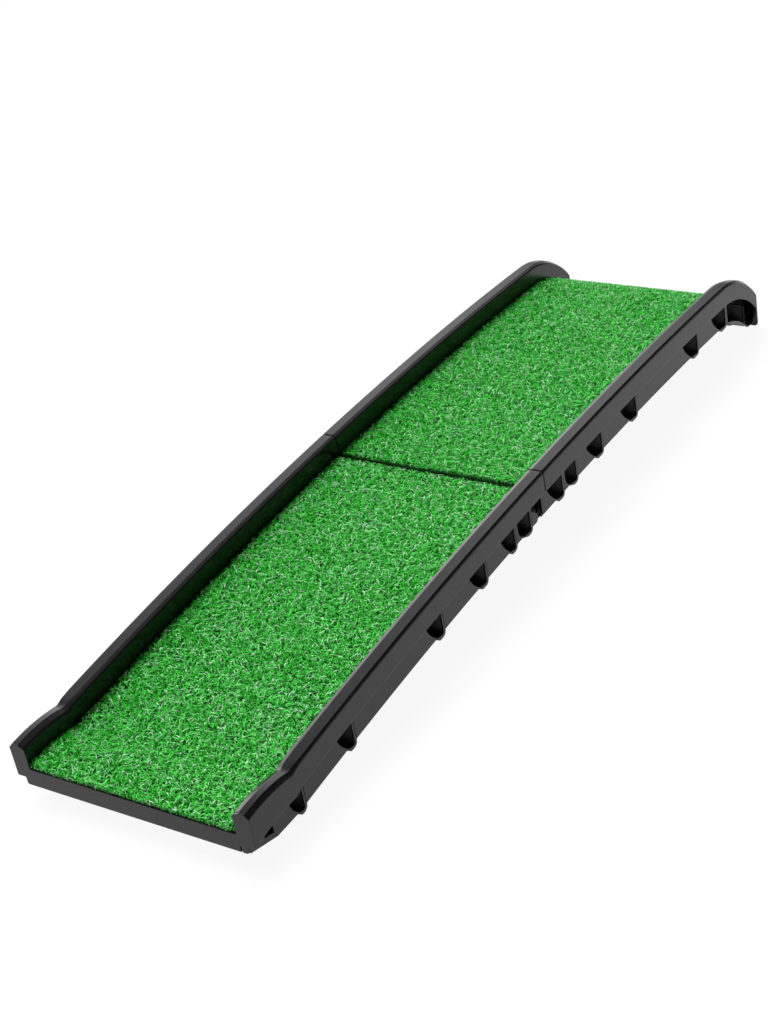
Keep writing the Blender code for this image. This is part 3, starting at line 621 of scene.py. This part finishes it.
def add_troughs(cage, channels, troughs):
    """Channels across the underside, with rims round their mouths."""
    for trough in troughs:
        wall = trough_path(trough, 0.0) + trough_path(trough, TROUGH_WALL)[::-1]
        middle_slab(channels, wall, SKIRT_X - MOUTH_RIM_DEPTH)
        both_sides(cage, wall, SKIRT_X - MOUTH_RIM_DEPTH, SKIRT_X - SKIN)
        both_sides(cage, mouth_rim(trough), SKIRT_X - MOUTH_RIM_DEPTH, SKIRT_X)


def trough_end(trough):
    """Where the next stretch of skirt starts, in the middle of a trough's +Y wall."""
    centre, width = trough[:2]
    return centre + width / 2 - TROUGH_WALL / 2


def skirt_up_to(trough, start):
    """Outline of the skirt from a start to a trough, whose wall it follows."""
    wall = trough_wall(trough, TROUGH_WALL / 2)[:WALL_DOWN_TO_BELLY]
    points = [(y, ceiling(y)) for y in stations(start, wall[0][0])] + wall
    return points + [(y, belly(y)) for y in reversed(stations(start, wall[-1][0]))]


def add_skirts(cage, start, troughs):
    """Skirts on both sides from a start up to each trough in turn; returns where the last trough ends."""
    for trough in sorted(troughs):
        both_sides(cage, skirt_up_to(trough, start), SKIRT_X - SKIRT_WALL, SKIRT_X)
        start = trough_end(trough)
    return start


def add_windowed_skirt(cage, start, end, windows, sill):
    """A stretch of skirt with windows, as posts between them and sills below them."""
    inner, outer = SKIRT_X - SKIRT_WALL, SKIRT_X
    edges = [start] + [edge for window in windows for edge in window] + [end]
    for post_start, post_end in zip(edges[0::2], edges[1::2]):
        if post_end - post_start > SKIN:
            both_sides(cage, strip(ceiling, belly, post_start, post_end), inner, outer)
    for window_start, window_end in windows:
        both_sides(cage, strip(lowered(belly, -sill), belly, window_start, window_end), inner, outer)


def seam_lug(troughs):
    """Low lug that ends the lower half's skirt short of the seam."""
    start = trough_end(troughs[0])
    end = start + SEAM_LUG_LENGTH
    foot = crown(start) - BODY_DEPTH
    points = [(start, crown(start) - SEAM_LUG_DEPTHS[0]), (end, crown(end) - SEAM_LUG_DEPTHS[1])]
    centre = (end - SEAM_LUG_ROUNDING, foot + SEAM_LUG_ROUNDING)
    points += arc(centre, SEAM_LUG_ROUNDING, 0, -90, LUG_POINTS)
    points.append((start, foot))
    return points


def add_knuckle(cage, side, centre_x):
    """Hinge knuckle on an arm; side is -1 on the lower half and 1 on the upper."""
    points = [(-KNUCKLE_FROM_SEAM, KNUCKLE_ARM_HEIGHT), (-KNUCKLE_FROM_SEAM, KNUCKLE_RADIUS)]
    points += arc((0, 0), KNUCKLE_RADIUS, 90, -180, KNUCKLE_POINTS)
    points += [(-KNUCKLE_ARM_WIDTH, KNUCKLE_RADIUS * 2), (-END_WALL, KNUCKLE_ARM_HEIGHT)]
    outline = [(SEAM_Y - side * y, HINGE_HEIGHT + z) for y, z in points]
    slab(cage, outline, centre_x - KNUCKLE_WIDTH / 2, centre_x + KNUCKLE_WIDTH / 2)


def add_boss(cage, y):
    """Screw boss behind the left skirt."""
    z = crown(y) - LATCH_DEPTH
    outline = arc((y, z), BOSS_RADIUS, 0, 360 - 360 / BOSS_POINTS, BOSS_POINTS)
    slab(cage, outline, -SKIRT_X + SKIRT_WALL / 2, -SKIRT_X + SKIRT_WALL + BOSS_LENGTH)


def finish_panel(name, body, cage, channels, rails):
    """Round the edges of the slabs, and put slabs, channels and rails in the CAD panel's place."""
    panel = place(name, cage)
    troughs = place(name + "_troughs", channels)
    for thing in (panel, troughs):
        bevel = thing.modifiers.new("rounded edges", "BEVEL")
        bevel.width = EDGE_ROUNDING
        bevel.segments = BEVEL_SEGMENTS
        bevel.limit_method = "ANGLE"
        bevel.angle_limit = math.radians(BEVEL_DEGREES)
        bevel.use_clamp_overlap = True
    rail_pair = place(name + "_rails", rails)
    # The trough walls, the hook's sole and its rib get the plastic whose lighter grey is painted light
    for thing, material in ((panel, PLASTIC), (troughs, PAINTED_LIGHT_PLASTIC), (rail_pair, PLASTIC)):
        smooth(thing)
        level = thing.modifiers.new("flat faces stay flat", "WEIGHTED_NORMAL")
        level.mode = "FACE_AREA"
        level.keep_sharp = True
        thing.data.materials.append(material)
        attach(thing, body)
        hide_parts(name.replace("_moulding", "_panel"))


def front_bottom():
    """Lower edge of the front plate from the middle outward, with a small slot on the right side."""
    foot = crown(GROUND_Y) - NOSE_DEPTH
    near, far = NOSE_SLOT_SIDES
    slot_top = foot + NOSE_SLOT_HEIGHT
    points = [(near, foot, 0), (near, slot_top, 0), (far, slot_top, 0), (far, foot, 0)]
    points += [(SKIRT_X, foot, NOSE_CORNER), (SKIRT_X, band(GROUND_Y), 0)]
    return points + [(WIDTH / 2, band(GROUND_Y), BAND_ROUNDING)]


def add_seam_wall(cage, wall_ends, tab_ends):
    """Wall that meets the other half at the seam, with a tab outside each skirt."""
    middle_slab(cage, strip(ceiling, lowered(crown, BODY_DEPTH), *wall_ends), SKIRT_X - SKIRT_WALL)
    tab = strip(lowered(crown, RAIL_WIDTH), lowered(crown, END_TAB_DEPTH), *tab_ends)
    both_sides(cage, tab, SKIRT_X - 2 * SKIRT_WALL, END_TAB_X)


def lower_moulding():
    """Lower half: blunt ground end, deck, skirts, troughs, seam wall, knuckles and rails."""
    start, end = GROUND_Y, SEAM_Y - SEAM_GAP / 2
    behind = start + END_WALL - SKIN
    cage, channels = bmesh.new(), bmesh.new()
    middle_slab(cage, strip(deck, ceiling, behind, end - DECK_FROM_SEAM), TRAY_X)
    sole_end = start + TAPER_LENGTH + RIB_WALL
    middle_slab(cage, strip(lowered(belly, -SOLE_WALL), belly, behind, sole_end), TRAY_X)
    middle_slab(cage, strip(ceiling, belly, sole_end - RIB_WALL, sole_end), RIB_X)
    add_troughs(cage, channels, LOWER_TROUGH_PLACES)
    window = (start + TOE_WINDOW[0], start + TOE_WINDOW[1])
    add_windowed_skirt(cage, behind, window[1] + RIB_WALL, [window], TOE_SILL)
    add_skirts(cage, window[1] + RIB_WALL, LOWER_TROUGH_PLACES)
    both_sides(cage, seam_lug(LOWER_TROUGH_PLACES), SKIRT_X - SKIRT_WALL, SKIRT_X)
    add_seam_wall(cage, (end - END_WALL, end - SKIN), (end - END_WALL, end))
    step = KNUCKLE_WIDTH + KNUCKLE_GAP
    for side in (-1, 1):
        for shift in (-step, step):
            add_knuckle(cage, -1, side * KNUCKLE_CENTRE_X + shift)
    add_boss(cage, SEAM_Y - LATCH_FROM_SEAM)
    rails = bmesh.new()
    end_plate(rails, start, 1, front_bottom())
    for side in (-1, 1):
        add_rail(rails, side, start + END_WALL, end - RAIL_SEAM_GAP)
        add_seam_tongue(rails, side)
    finish_panel("lower_moulding", "lower_half", cage, channels, rails)


def upper_moulding():
    """Upper half: seam wall, deck, skirts, troughs, knuckles, rails and the hook with its windows."""
    start, end = SEAM_Y + SEAM_GAP / 2, HOOK_Y
    rib = end - HOOK_RIB_FROM_END
    before = end - END_WALL + SKIN
    cage, channels = bmesh.new(), bmesh.new()
    add_troughs(cage, channels, UPPER_TROUGH_PLACES)
    last = add_skirts(cage, start, UPPER_TROUGH_PLACES)
    middle_slab(cage, strip(deck, ceiling, start + DECK_FROM_SEAM, last), TRAY_X)
    middle_slab(cage, strip(deck, ceiling, last, end - EDGE_ROUNDING), HOOK_DECK_X)
    # The hook's sole and rib go with the troughs, into the plastic painted lighter to stand for light
    # reaching inside
    middle_slab(channels, strip(lowered(belly, -SOLE_WALL), belly, last, before), TRAY_X)
    middle_slab(channels, strip(ceiling, belly, rib, rib + RIB_WALL), RIB_X)
    windows = [(last + POST_WIDTH, rib), (rib + POST_WIDTH, end - END_WALL)]
    add_windowed_skirt(cage, last, before, windows, SOLE_WALL)
    add_seam_wall(cage, (start + SKIN, start + END_WALL), (start, start + END_WALL))
    for side in (-1, 1):
        add_knuckle(cage, 1, side * KNUCKLE_CENTRE_X)
    add_boss(cage, SEAM_Y + LATCH_FROM_SEAM)
    rails = bmesh.new()
    end_plate(rails, end, -1, [(WIDTH / 2, belly(end), HOOK_CORNER)])
    for side in (-1, 1):
        add_rail(rails, side, end - END_WALL, start + RAIL_SEAM_GAP)
    finish_panel("upper_moulding", "upper_half", cage, channels, rails)


# Turf


def deck_line(start, end):
    """Fine samples along a mat: their places, and the deck's height and slope there, as arrays."""
    places = np.linspace(start, end, DECK_SAMPLES)
    heights = np.array([deck(y) for y in places])
    return places, heights, np.gradient(heights, places)


def blade_roots(generator, start, end):
    """X and Y of the blades, in an uneven grid over a mat, with the corners at the ground end rounded."""
    columns = int(2 * MAT_X / BLADE_SPACING)
    rows = int((end - start) / BLADE_SPACING)
    x, y = np.meshgrid(np.linspace(-MAT_X, MAT_X, columns), np.linspace(start, end, rows))
    x = (x + generator.uniform(-BLADE_JITTER, BLADE_JITTER, x.shape) * BLADE_SPACING).ravel()
    y = (y + generator.uniform(-BLADE_JITTER, BLADE_JITTER, y.shape) * BLADE_SPACING).ravel()
    x = np.clip(x, -MAT_X + BLADE_FROM_EDGE, MAT_X - BLADE_FROM_EDGE)
    y = np.clip(y, start + BLADE_FROM_NOSE, end - BLADE_FROM_EDGE)
    corner_x, corner_y = np.abs(x) - MAT_X + MAT_CORNER, GROUND_Y + MAT_CORNER - y
    kept = (corner_x < 0) | (corner_y < 0) | (np.hypot(corner_x, corner_y) < MAT_CORNER)
    return x[kept], y[kept]


def turned(first, second, angles):
    """Directions turned from a first toward a second one, each by its own angle."""
    return first * np.cos(angles)[:, None] + second * np.sin(angles)[:, None]


def curled_ribbons(generator, root, up):
    """Points of the blades by blade, level and edge, as ribbons that bend and twist from the root up."""
    count = len(root)
    along = np.stack([np.zeros(count), up[:, 2], -up[:, 1]], 1)
    right = np.tile([1.0, 0.0, 0.0], (count, 1))
    turn = generator.uniform(0, 2 * math.pi, count)
    lean = turned(right, along, turn)
    side = turned(right, along, turn + math.pi / 2 + generator.normal(0, BLADE_SPIN, count))
    length = generator.uniform(*BLADE_LENGTH, count)
    curl = generator.uniform(*BLADE_CURL, count)
    first_lean = generator.uniform(*BLADE_FIRST_LEAN, count)
    twist = generator.normal(0, BLADE_TWIST, count)
    width = BLADE_WIDTH * generator.uniform(*BLADE_WIDTH_SHARES, count)
    step = (length / (BLADE_LEVELS - 1))[:, None]
    points = np.zeros((count, BLADE_LEVELS, 2, 3))
    spot = root
    for level in range(BLADE_LEVELS):
        share = level / (BLADE_LEVELS - 1)
        half_width = ((1 - BLADE_TAPER * share**2) * width / 2)[:, None]
        points[:, level, 0] = spot - side * half_width
        points[:, level, 1] = spot + side * half_width
        bent = turned(lean, np.cross(up, lean), twist * share)
        spot = spot + turned(up, bent, first_lean + curl * share) * step
    return points


def ribbon_mesh(name, points, tone):
    """Mesh of ribbons, with each blade's tone and each level's rise stored on its points."""
    count, levels = points.shape[:2]
    base = (np.arange(count) * levels * 2)[:, None]
    quads = np.concatenate([base + np.array([0, 1, 3, 2]) + 2 * level for level in range(levels - 1)])
    mesh = bpy.data.meshes.new(name)
    mesh.vertices.add(count * levels * 2)
    mesh.vertices.foreach_set("co", points.astype(np.float32).ravel())
    mesh.loops.add(quads.size)
    mesh.loops.foreach_set("vertex_index", quads.astype(np.int32).ravel())
    mesh.polygons.add(len(quads))
    mesh.polygons.foreach_set("loop_start", np.arange(0, quads.size, 4, dtype=np.int32))
    mesh.update(calc_edges=True)
    mesh.shade_smooth()
    rise = np.tile(np.repeat(np.linspace(0, 1, levels), 2), count)
    for label, values in (("tone", np.repeat(tone, levels * 2)), ("rise", rise)):
        attribute = mesh.attributes.new(label, "FLOAT", "POINT")
        attribute.data.foreach_set("value", values.astype(np.float32))
    return mesh


def turf_blades(name, start, end, seed):
    """Curled blades all over a mat, kept inside its edges and below the top of its pile."""
    generator = np.random.default_rng(seed)
    first_y = start - NOSE_OVERHANG if start < RISE_Y else start
    x, y = blade_roots(generator, first_y, end)
    places, heights, slopes = deck_line(start, end)
    z = np.interp(y, places, heights) + MAT_LIFT + MAT_BACKING * BLADE_ROOT_DEPTH
    up = np.stack([np.zeros(len(x)), -np.interp(y, places, slopes), np.ones(len(x))], 1)
    up /= np.linalg.norm(up, axis=1)[:, None]
    points = curled_ribbons(generator, np.stack([x, y, z], 1), up)
    surface = np.interp(points[..., 1], places, heights)
    pile_top = MAT_THICKNESS + PILE_OVER_MAT
    points[..., 2] = np.clip(points[..., 2], surface + MAT_LIFT + PILE_ABOVE_DECK, surface + pile_top)
    points[..., 0] = np.clip(points[..., 0], -MAT_X, MAT_X)
    points[..., 1] = np.clip(points[..., 1], first_y, end)
    thing = bpy.data.objects.new(name, ribbon_mesh(name, points, generator.uniform(0, 1, len(x))))
    bpy.context.scene.collection.objects.link(thing)
    return thing


def turf_mat(name, node, body, start, end, seed):
    """Backing sheet and blades of one mat."""
    cage = bmesh.new()
    outline = strip(lowered(deck, -MAT_LIFT - MAT_BACKING), lowered(deck, -MAT_LIFT), start, end)
    middle_slab(cage, outline, MAT_X)
    backing = place(name + "_backing", cage)
    backing.data.materials.append(TURF_BACKING)
    blades = turf_blades(name + "_blades", start, end, seed)
    blades.data.materials.append(TURF)
    for thing in (backing, blades):
        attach(thing, body)
        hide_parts(node)


# Materials


def grey(level):
    return (level, level, level)


def new_material(name, roughness, colour=grey(0.5), metallic=0.0, specular=0.5):
    """Material with a Principled shader; returns the material, its nodes, its links and the shader."""
    made = bpy.data.materials.new(name)
    made.use_nodes = True
    shader = made.node_tree.nodes["Principled BSDF"]
    shader.inputs["Base Color"].default_value = (*colour, 1.0)
    shader.inputs["Roughness"].default_value = roughness
    shader.inputs["Metallic"].default_value = metallic
    shader.inputs["Specular IOR Level"].default_value = specular
    return made, made.node_tree.nodes, made.node_tree.links, shader


def add_noise(nodes, links, scale, detail=4.0, roughness=0.55):
    """Noise texture over object coordinates."""
    coordinates = nodes.new("ShaderNodeTexCoord")
    noise = nodes.new("ShaderNodeTexNoise")
    noise.inputs["Scale"].default_value = scale
    noise.inputs["Detail"].default_value = detail
    noise.inputs["Roughness"].default_value = roughness
    links.new(coordinates.outputs["Object"], noise.inputs["Vector"])
    return noise.outputs["Fac"]


def add_ramp(nodes, links, source, stops):
    """Colour ramp of (position, colour) stops."""
    ramp = nodes.new("ShaderNodeValToRGB")
    elements = ramp.color_ramp.elements
    while len(elements) < len(stops):
        elements.new(0.5)
    for element, (position, colour) in zip(elements, stops):
        element.position = position
        element.color = (*colour, 1.0)
    links.new(source, ramp.inputs["Fac"])
    return ramp.outputs["Color"]


def mottle(nodes, links, cloud, tones, socket):
    """Let a noise vary a socket between two tones, each a colour or a grey level."""
    colours = [grey(tone) if isinstance(tone, float) else tone for tone in tones]
    links.new(add_ramp(nodes, links, cloud, list(zip(MOTTLE, colours))), socket)


def add_grain(nodes, links, shader, scale, strength, distance):
    """Bumps from a fine noise."""
    bump = nodes.new("ShaderNodeBump")
    bump.inputs["Strength"].default_value = strength
    bump.inputs["Distance"].default_value = distance
    links.new(add_noise(nodes, links, scale, detail=2.0), bump.inputs["Height"])
    links.new(bump.outputs["Normal"], shader.inputs["Normal"])


def plastic_material():
    """Dark satin moulded plastic with a fine grain."""
    made, nodes, links, shader = new_material("moulded_plastic", roughness=0.22, specular=PLASTIC_SPECULAR)
    cloud = add_noise(nodes, links, scale=14.0)
    mottle(nodes, links, cloud, PLASTIC_GREY, shader.inputs["Base Color"])
    mottle(nodes, links, cloud, PLASTIC_ROUGHNESS, shader.inputs["Roughness"])
    add_grain(nodes, links, shader, scale=1400.0, strength=0.08, distance=0.0001)
    return made


def plastic_with_painted_light_material():
    """The same plastic inside the troughs and the hook, rougher and painted a lighter grey that stands for
    the light reaching in there.
    """
    made, nodes, links, shader = new_material("plastic_with_painted_light", roughness=0.55, specular=MATT_SPECULAR)
    mottle(nodes, links, add_noise(nodes, links, scale=30.0), PAINTED_LIGHT_GREY, shader.inputs["Base Color"])
    return made


def turf_material():
    """Green blades, darker at the root, each with its own tone, the lightest whitish tones being painted
    highlights.
    """
    made, nodes, links, shader = new_material("turf_blades", roughness=0.5, specular=TURF_SPECULAR)
    mix = nodes.new("ShaderNodeMix")
    mix.data_type = "RGBA"
    mix.blend_type = "MULTIPLY"
    mix.inputs["Factor"].default_value = 1.0
    shades = [(rise, grey(level)) for rise, level in TURF_SHADE]
    for label, stops, socket in (("tone", TURF_TONES_AND_HIGHLIGHTS, "A"), ("rise", shades, "B")):
        attribute = nodes.new("ShaderNodeAttribute")
        attribute.attribute_name = label
        links.new(add_ramp(nodes, links, attribute.outputs["Fac"], stops), mix.inputs[socket])
    links.new(mix.outputs["Result"], shader.inputs["Base Color"])
    return made


def backing_material():
    """Dark green sheet that the blades stand in."""
    made, nodes, links, shader = new_material("turf_backing", roughness=0.9)
    mottle(nodes, links, add_noise(nodes, links, scale=300.0), BACKING_TONES, shader.inputs["Base Color"])
    return made


def steel_material():
    """Zinc-plated steel."""
    made, nodes, links, shader = new_material("zinc_plate", roughness=0.3, metallic=1.0)
    cloud = add_noise(nodes, links, scale=220.0)
    mottle(nodes, links, cloud, ZINC_TONES, shader.inputs["Base Color"])
    mottle(nodes, links, cloud, ZINC_ROUGHNESS, shader.inputs["Roughness"])
    return made


def rubber_material():
    """Matt black rubber."""
    made, nodes, links, shader = new_material("foot_rubber", roughness=0.75)
    mottle(nodes, links, add_noise(nodes, links, scale=160.0), RUBBER_GREY, shader.inputs["Base Color"])
    add_grain(nodes, links, shader, scale=2200.0, strength=0.3, distance=0.0002)
    return made


def latch_material():
    """Black nylon, a little rougher than the panels."""
    made, nodes, links, shader = new_material("latch_nylon", roughness=0.4)
    mottle(nodes, links, add_noise(nodes, links, scale=60.0), LATCH_GREY, shader.inputs["Base Color"])
    add_grain(nodes, links, shader, scale=900.0, strength=0.15, distance=0.0002)
    return made


# Studio


def add_math(nodes, links, operation, first, second):
    """Math node; each input is a socket or a number."""
    node = nodes.new("ShaderNodeMath")
    node.operation = operation
    for socket, value in zip(node.inputs, (first, second)):
        if isinstance(value, (int, float)):
            socket.default_value = value
        else:
            links.new(value, socket)
    return node.outputs[0]


def smooth_step(nodes, links, source, edges):
    """Share from 0 to 1 as a socket's value passes from the first edge to the second."""
    share = nodes.new("ShaderNodeMapRange")
    share.interpolation_type = "SMOOTHSTEP"
    share.inputs["From Min"].default_value, share.inputs["From Max"].default_value = edges
    links.new(source, share.inputs["Value"])
    return share.outputs[0]


def white_to_the_eye(nodes, links):
    """Socket that is 1 where the floor is seen directly, in a mirror or through glass."""
    path = nodes.new("ShaderNodeLightPath")
    seen = add_math(nodes, links, "MAXIMUM", path.outputs["Is Camera Ray"], path.outputs["Is Glossy Ray"])
    return add_math(nodes, links, "MAXIMUM", seen, path.outputs["Is Transmission Ray"])


def white_floor():
    """Wide white floor that keeps a soft part of the shadow."""
    cage = bmesh.new()
    bmesh.ops.create_grid(cage, x_segments=1, y_segments=1, size=FLOOR_HALF)
    floor = place("floor", cage)
    colour = grey(FLOOR_GREY)
    made, nodes, links, shader = new_material("floor_white", roughness=0.9, colour=colour, specular=0.0)
    glow = nodes.new("ShaderNodeEmission")
    blend = nodes.new("ShaderNodeMixShader")
    whitening = add_math(nodes, links, "MULTIPLY", white_to_the_eye(nodes, links), FLOOR_WHITENING)
    links.new(whitening, blend.inputs[0])
    links.new(shader.outputs[0], blend.inputs[1])
    links.new(glow.outputs[0], blend.inputs[2])
    links.new(blend.outputs[0], nodes["Material Output"].inputs["Surface"])
    floor.data.materials.append(made)


def light_level(nodes, links):
    """Socket with the world's light by direction: its lean, dimmed in three zones, with a glow added."""
    parts = nodes.new("ShaderNodeSeparateXYZ")
    links.new(nodes.new("ShaderNodeTexCoord").outputs["Generated"], parts.inputs[0])
    x, y, z = (parts.outputs[axis] for axis in "XYZ")
    right = smooth_step(nodes, links, x, DARK_ACROSS)
    above = smooth_step(nodes, links, z, DARK_ABOVE)
    light = add_math(nodes, links, "SUBTRACT", 1.0, add_math(nodes, links, "MULTIPLY", right, above))
    for axis, edges, dim in ((z, OVERHEAD, OVERHEAD_DIM), (y, BEHIND, BEHIND_DIM)):
        share = smooth_step(nodes, links, axis, edges)
        kept = add_math(nodes, links, "SUBTRACT", 1.0, add_math(nodes, links, "MULTIPLY", share, dim))
        light = add_math(nodes, links, "MULTIPLY", light, kept)
    toward = add_math(nodes, links, "SUBTRACT", y, x)
    lean = add_math(nodes, links, "MULTIPLY", toward, WORLD_LEAN)
    level = add_math(nodes, links, "ADD", lean, WORLD_LEVEL)
    level = add_math(nodes, links, "MULTIPLY", level, light)
    left = smooth_step(nodes, links, x, GLOW_ACROSS)
    glow = add_math(nodes, links, "MULTIPLY", left, smooth_step(nodes, links, z, GLOW_ABOVE))
    glow = add_math(nodes, links, "MULTIPLY", glow, GLOW_LEVEL)
    level = add_math(nodes, links, "ADD", level, glow)
    return add_math(nodes, links, "ADD", level, DARK_LEVEL)


def world_light():
    """World that lights the ramp unevenly and is plain white where it is seen directly."""
    world = bpy.data.worlds.new("studio")
    bpy.context.scene.world = world
    world.use_nodes = True
    nodes, links = world.node_tree.nodes, world.node_tree.links
    path = nodes.new("ShaderNodeLightPath")
    plain = nodes.new("ShaderNodeMix")
    links.new(path.outputs["Is Camera Ray"], plain.inputs["Factor"])
    links.new(light_level(nodes, links), plain.inputs["A"])
    plain.inputs["B"].default_value = 1.0
    background = nodes["Background"]
    links.new(plain.outputs["Result"], background.inputs["Strength"])
    background.inputs["Color"].default_value = (1, 1, 1, 1)


def key_light():
    """Soft sun from above, which isn't seen in the gloss."""
    sun = bpy.data.lights.new("key", "SUN")
    sun.energy = KEY_ENERGY
    sun.angle = math.radians(KEY_DEGREES)
    key = bpy.data.objects.new("key", sun)
    key.rotation_euler = Vector(KEY_FROM).to_track_quat("Z", "Y").to_euler()
    key.visible_glossy = False
    bpy.context.scene.collection.objects.link(key)


def main_camera():
    """Camera at the photograph's viewing angle."""
    camera_data = bpy.data.cameras.new("camera")
    camera_data.lens = CAMERA_LENS
    camera_data.sensor_width = CAMERA_SENSOR
    camera = bpy.data.objects.new("camera", camera_data)
    camera.location = CAMERA_PLACE
    camera.rotation_euler = Euler([math.radians(turn) for turn in CAMERA_TURN])
    bpy.context.scene.collection.objects.link(camera)
    bpy.context.scene.camera = camera


def hardware_material(node):
    """Material of one of the small parts, by its name."""
    if "foot" in node:
        return RUBBER
    if node == "fold_latch":
        return LATCH
    return STEEL


UPPER_STRETCH = LENGTH - SEAM_FROM_GROUND_END - HOOK_BOX_LENGTH
LOWER_TROUGH_PLACES = trough_places(LOWER_TROUGHS, -SEAM_FROM_GROUND_END)
LOWER_TROUGH_PLACES.append((RISE_Y, REST_TROUGH_WIDTH, True))
UPPER_TROUGH_PLACES = trough_places(UPPER_TROUGHS, UPPER_STRETCH)
LATCH_FROM_SEAM = LENGTH - SEAM_FROM_GROUND_END - LATCH_FROM_HOOK_END
HINGE_HEIGHT = crown(SEAM_Y) - BODY_DEPTH - HINGE_BELOW_BODY
LOWER_MAT_ENDS = (GROUND_Y + MAT_FROM_NOSE, SEAM_Y - MAT_FROM_SEAM)
UPPER_MAT_ENDS = (SEAM_Y + MAT_FROM_SEAM, HOOK_Y - MAT_FROM_HOOK_END)

PLASTIC = plastic_material()
PAINTED_LIGHT_PLASTIC = plastic_with_painted_light_material()
TURF = turf_material()
TURF_BACKING = backing_material()
STEEL = steel_material()
RUBBER = rubber_material()
LATCH = latch_material()

white_floor()
world_light()
key_light()
main_camera()
bpy.context.scene.view_settings.view_transform = "Standard"
lower_moulding()
upper_moulding()
turf_mat("lower_turf", "lower_turf_mat", "lower_half", *LOWER_MAT_ENDS, LOWER_TURF_SEED)
turf_mat("upper_turf", "upper_turf_mat", "upper_half", *UPPER_MAT_ENDS, UPPER_TURF_SEED)
for node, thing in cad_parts.items():
    if not node.endswith(("_panel", "_mat")):
        for material_slot in thing.material_slots:
            material_slot.material = hardware_material(node)
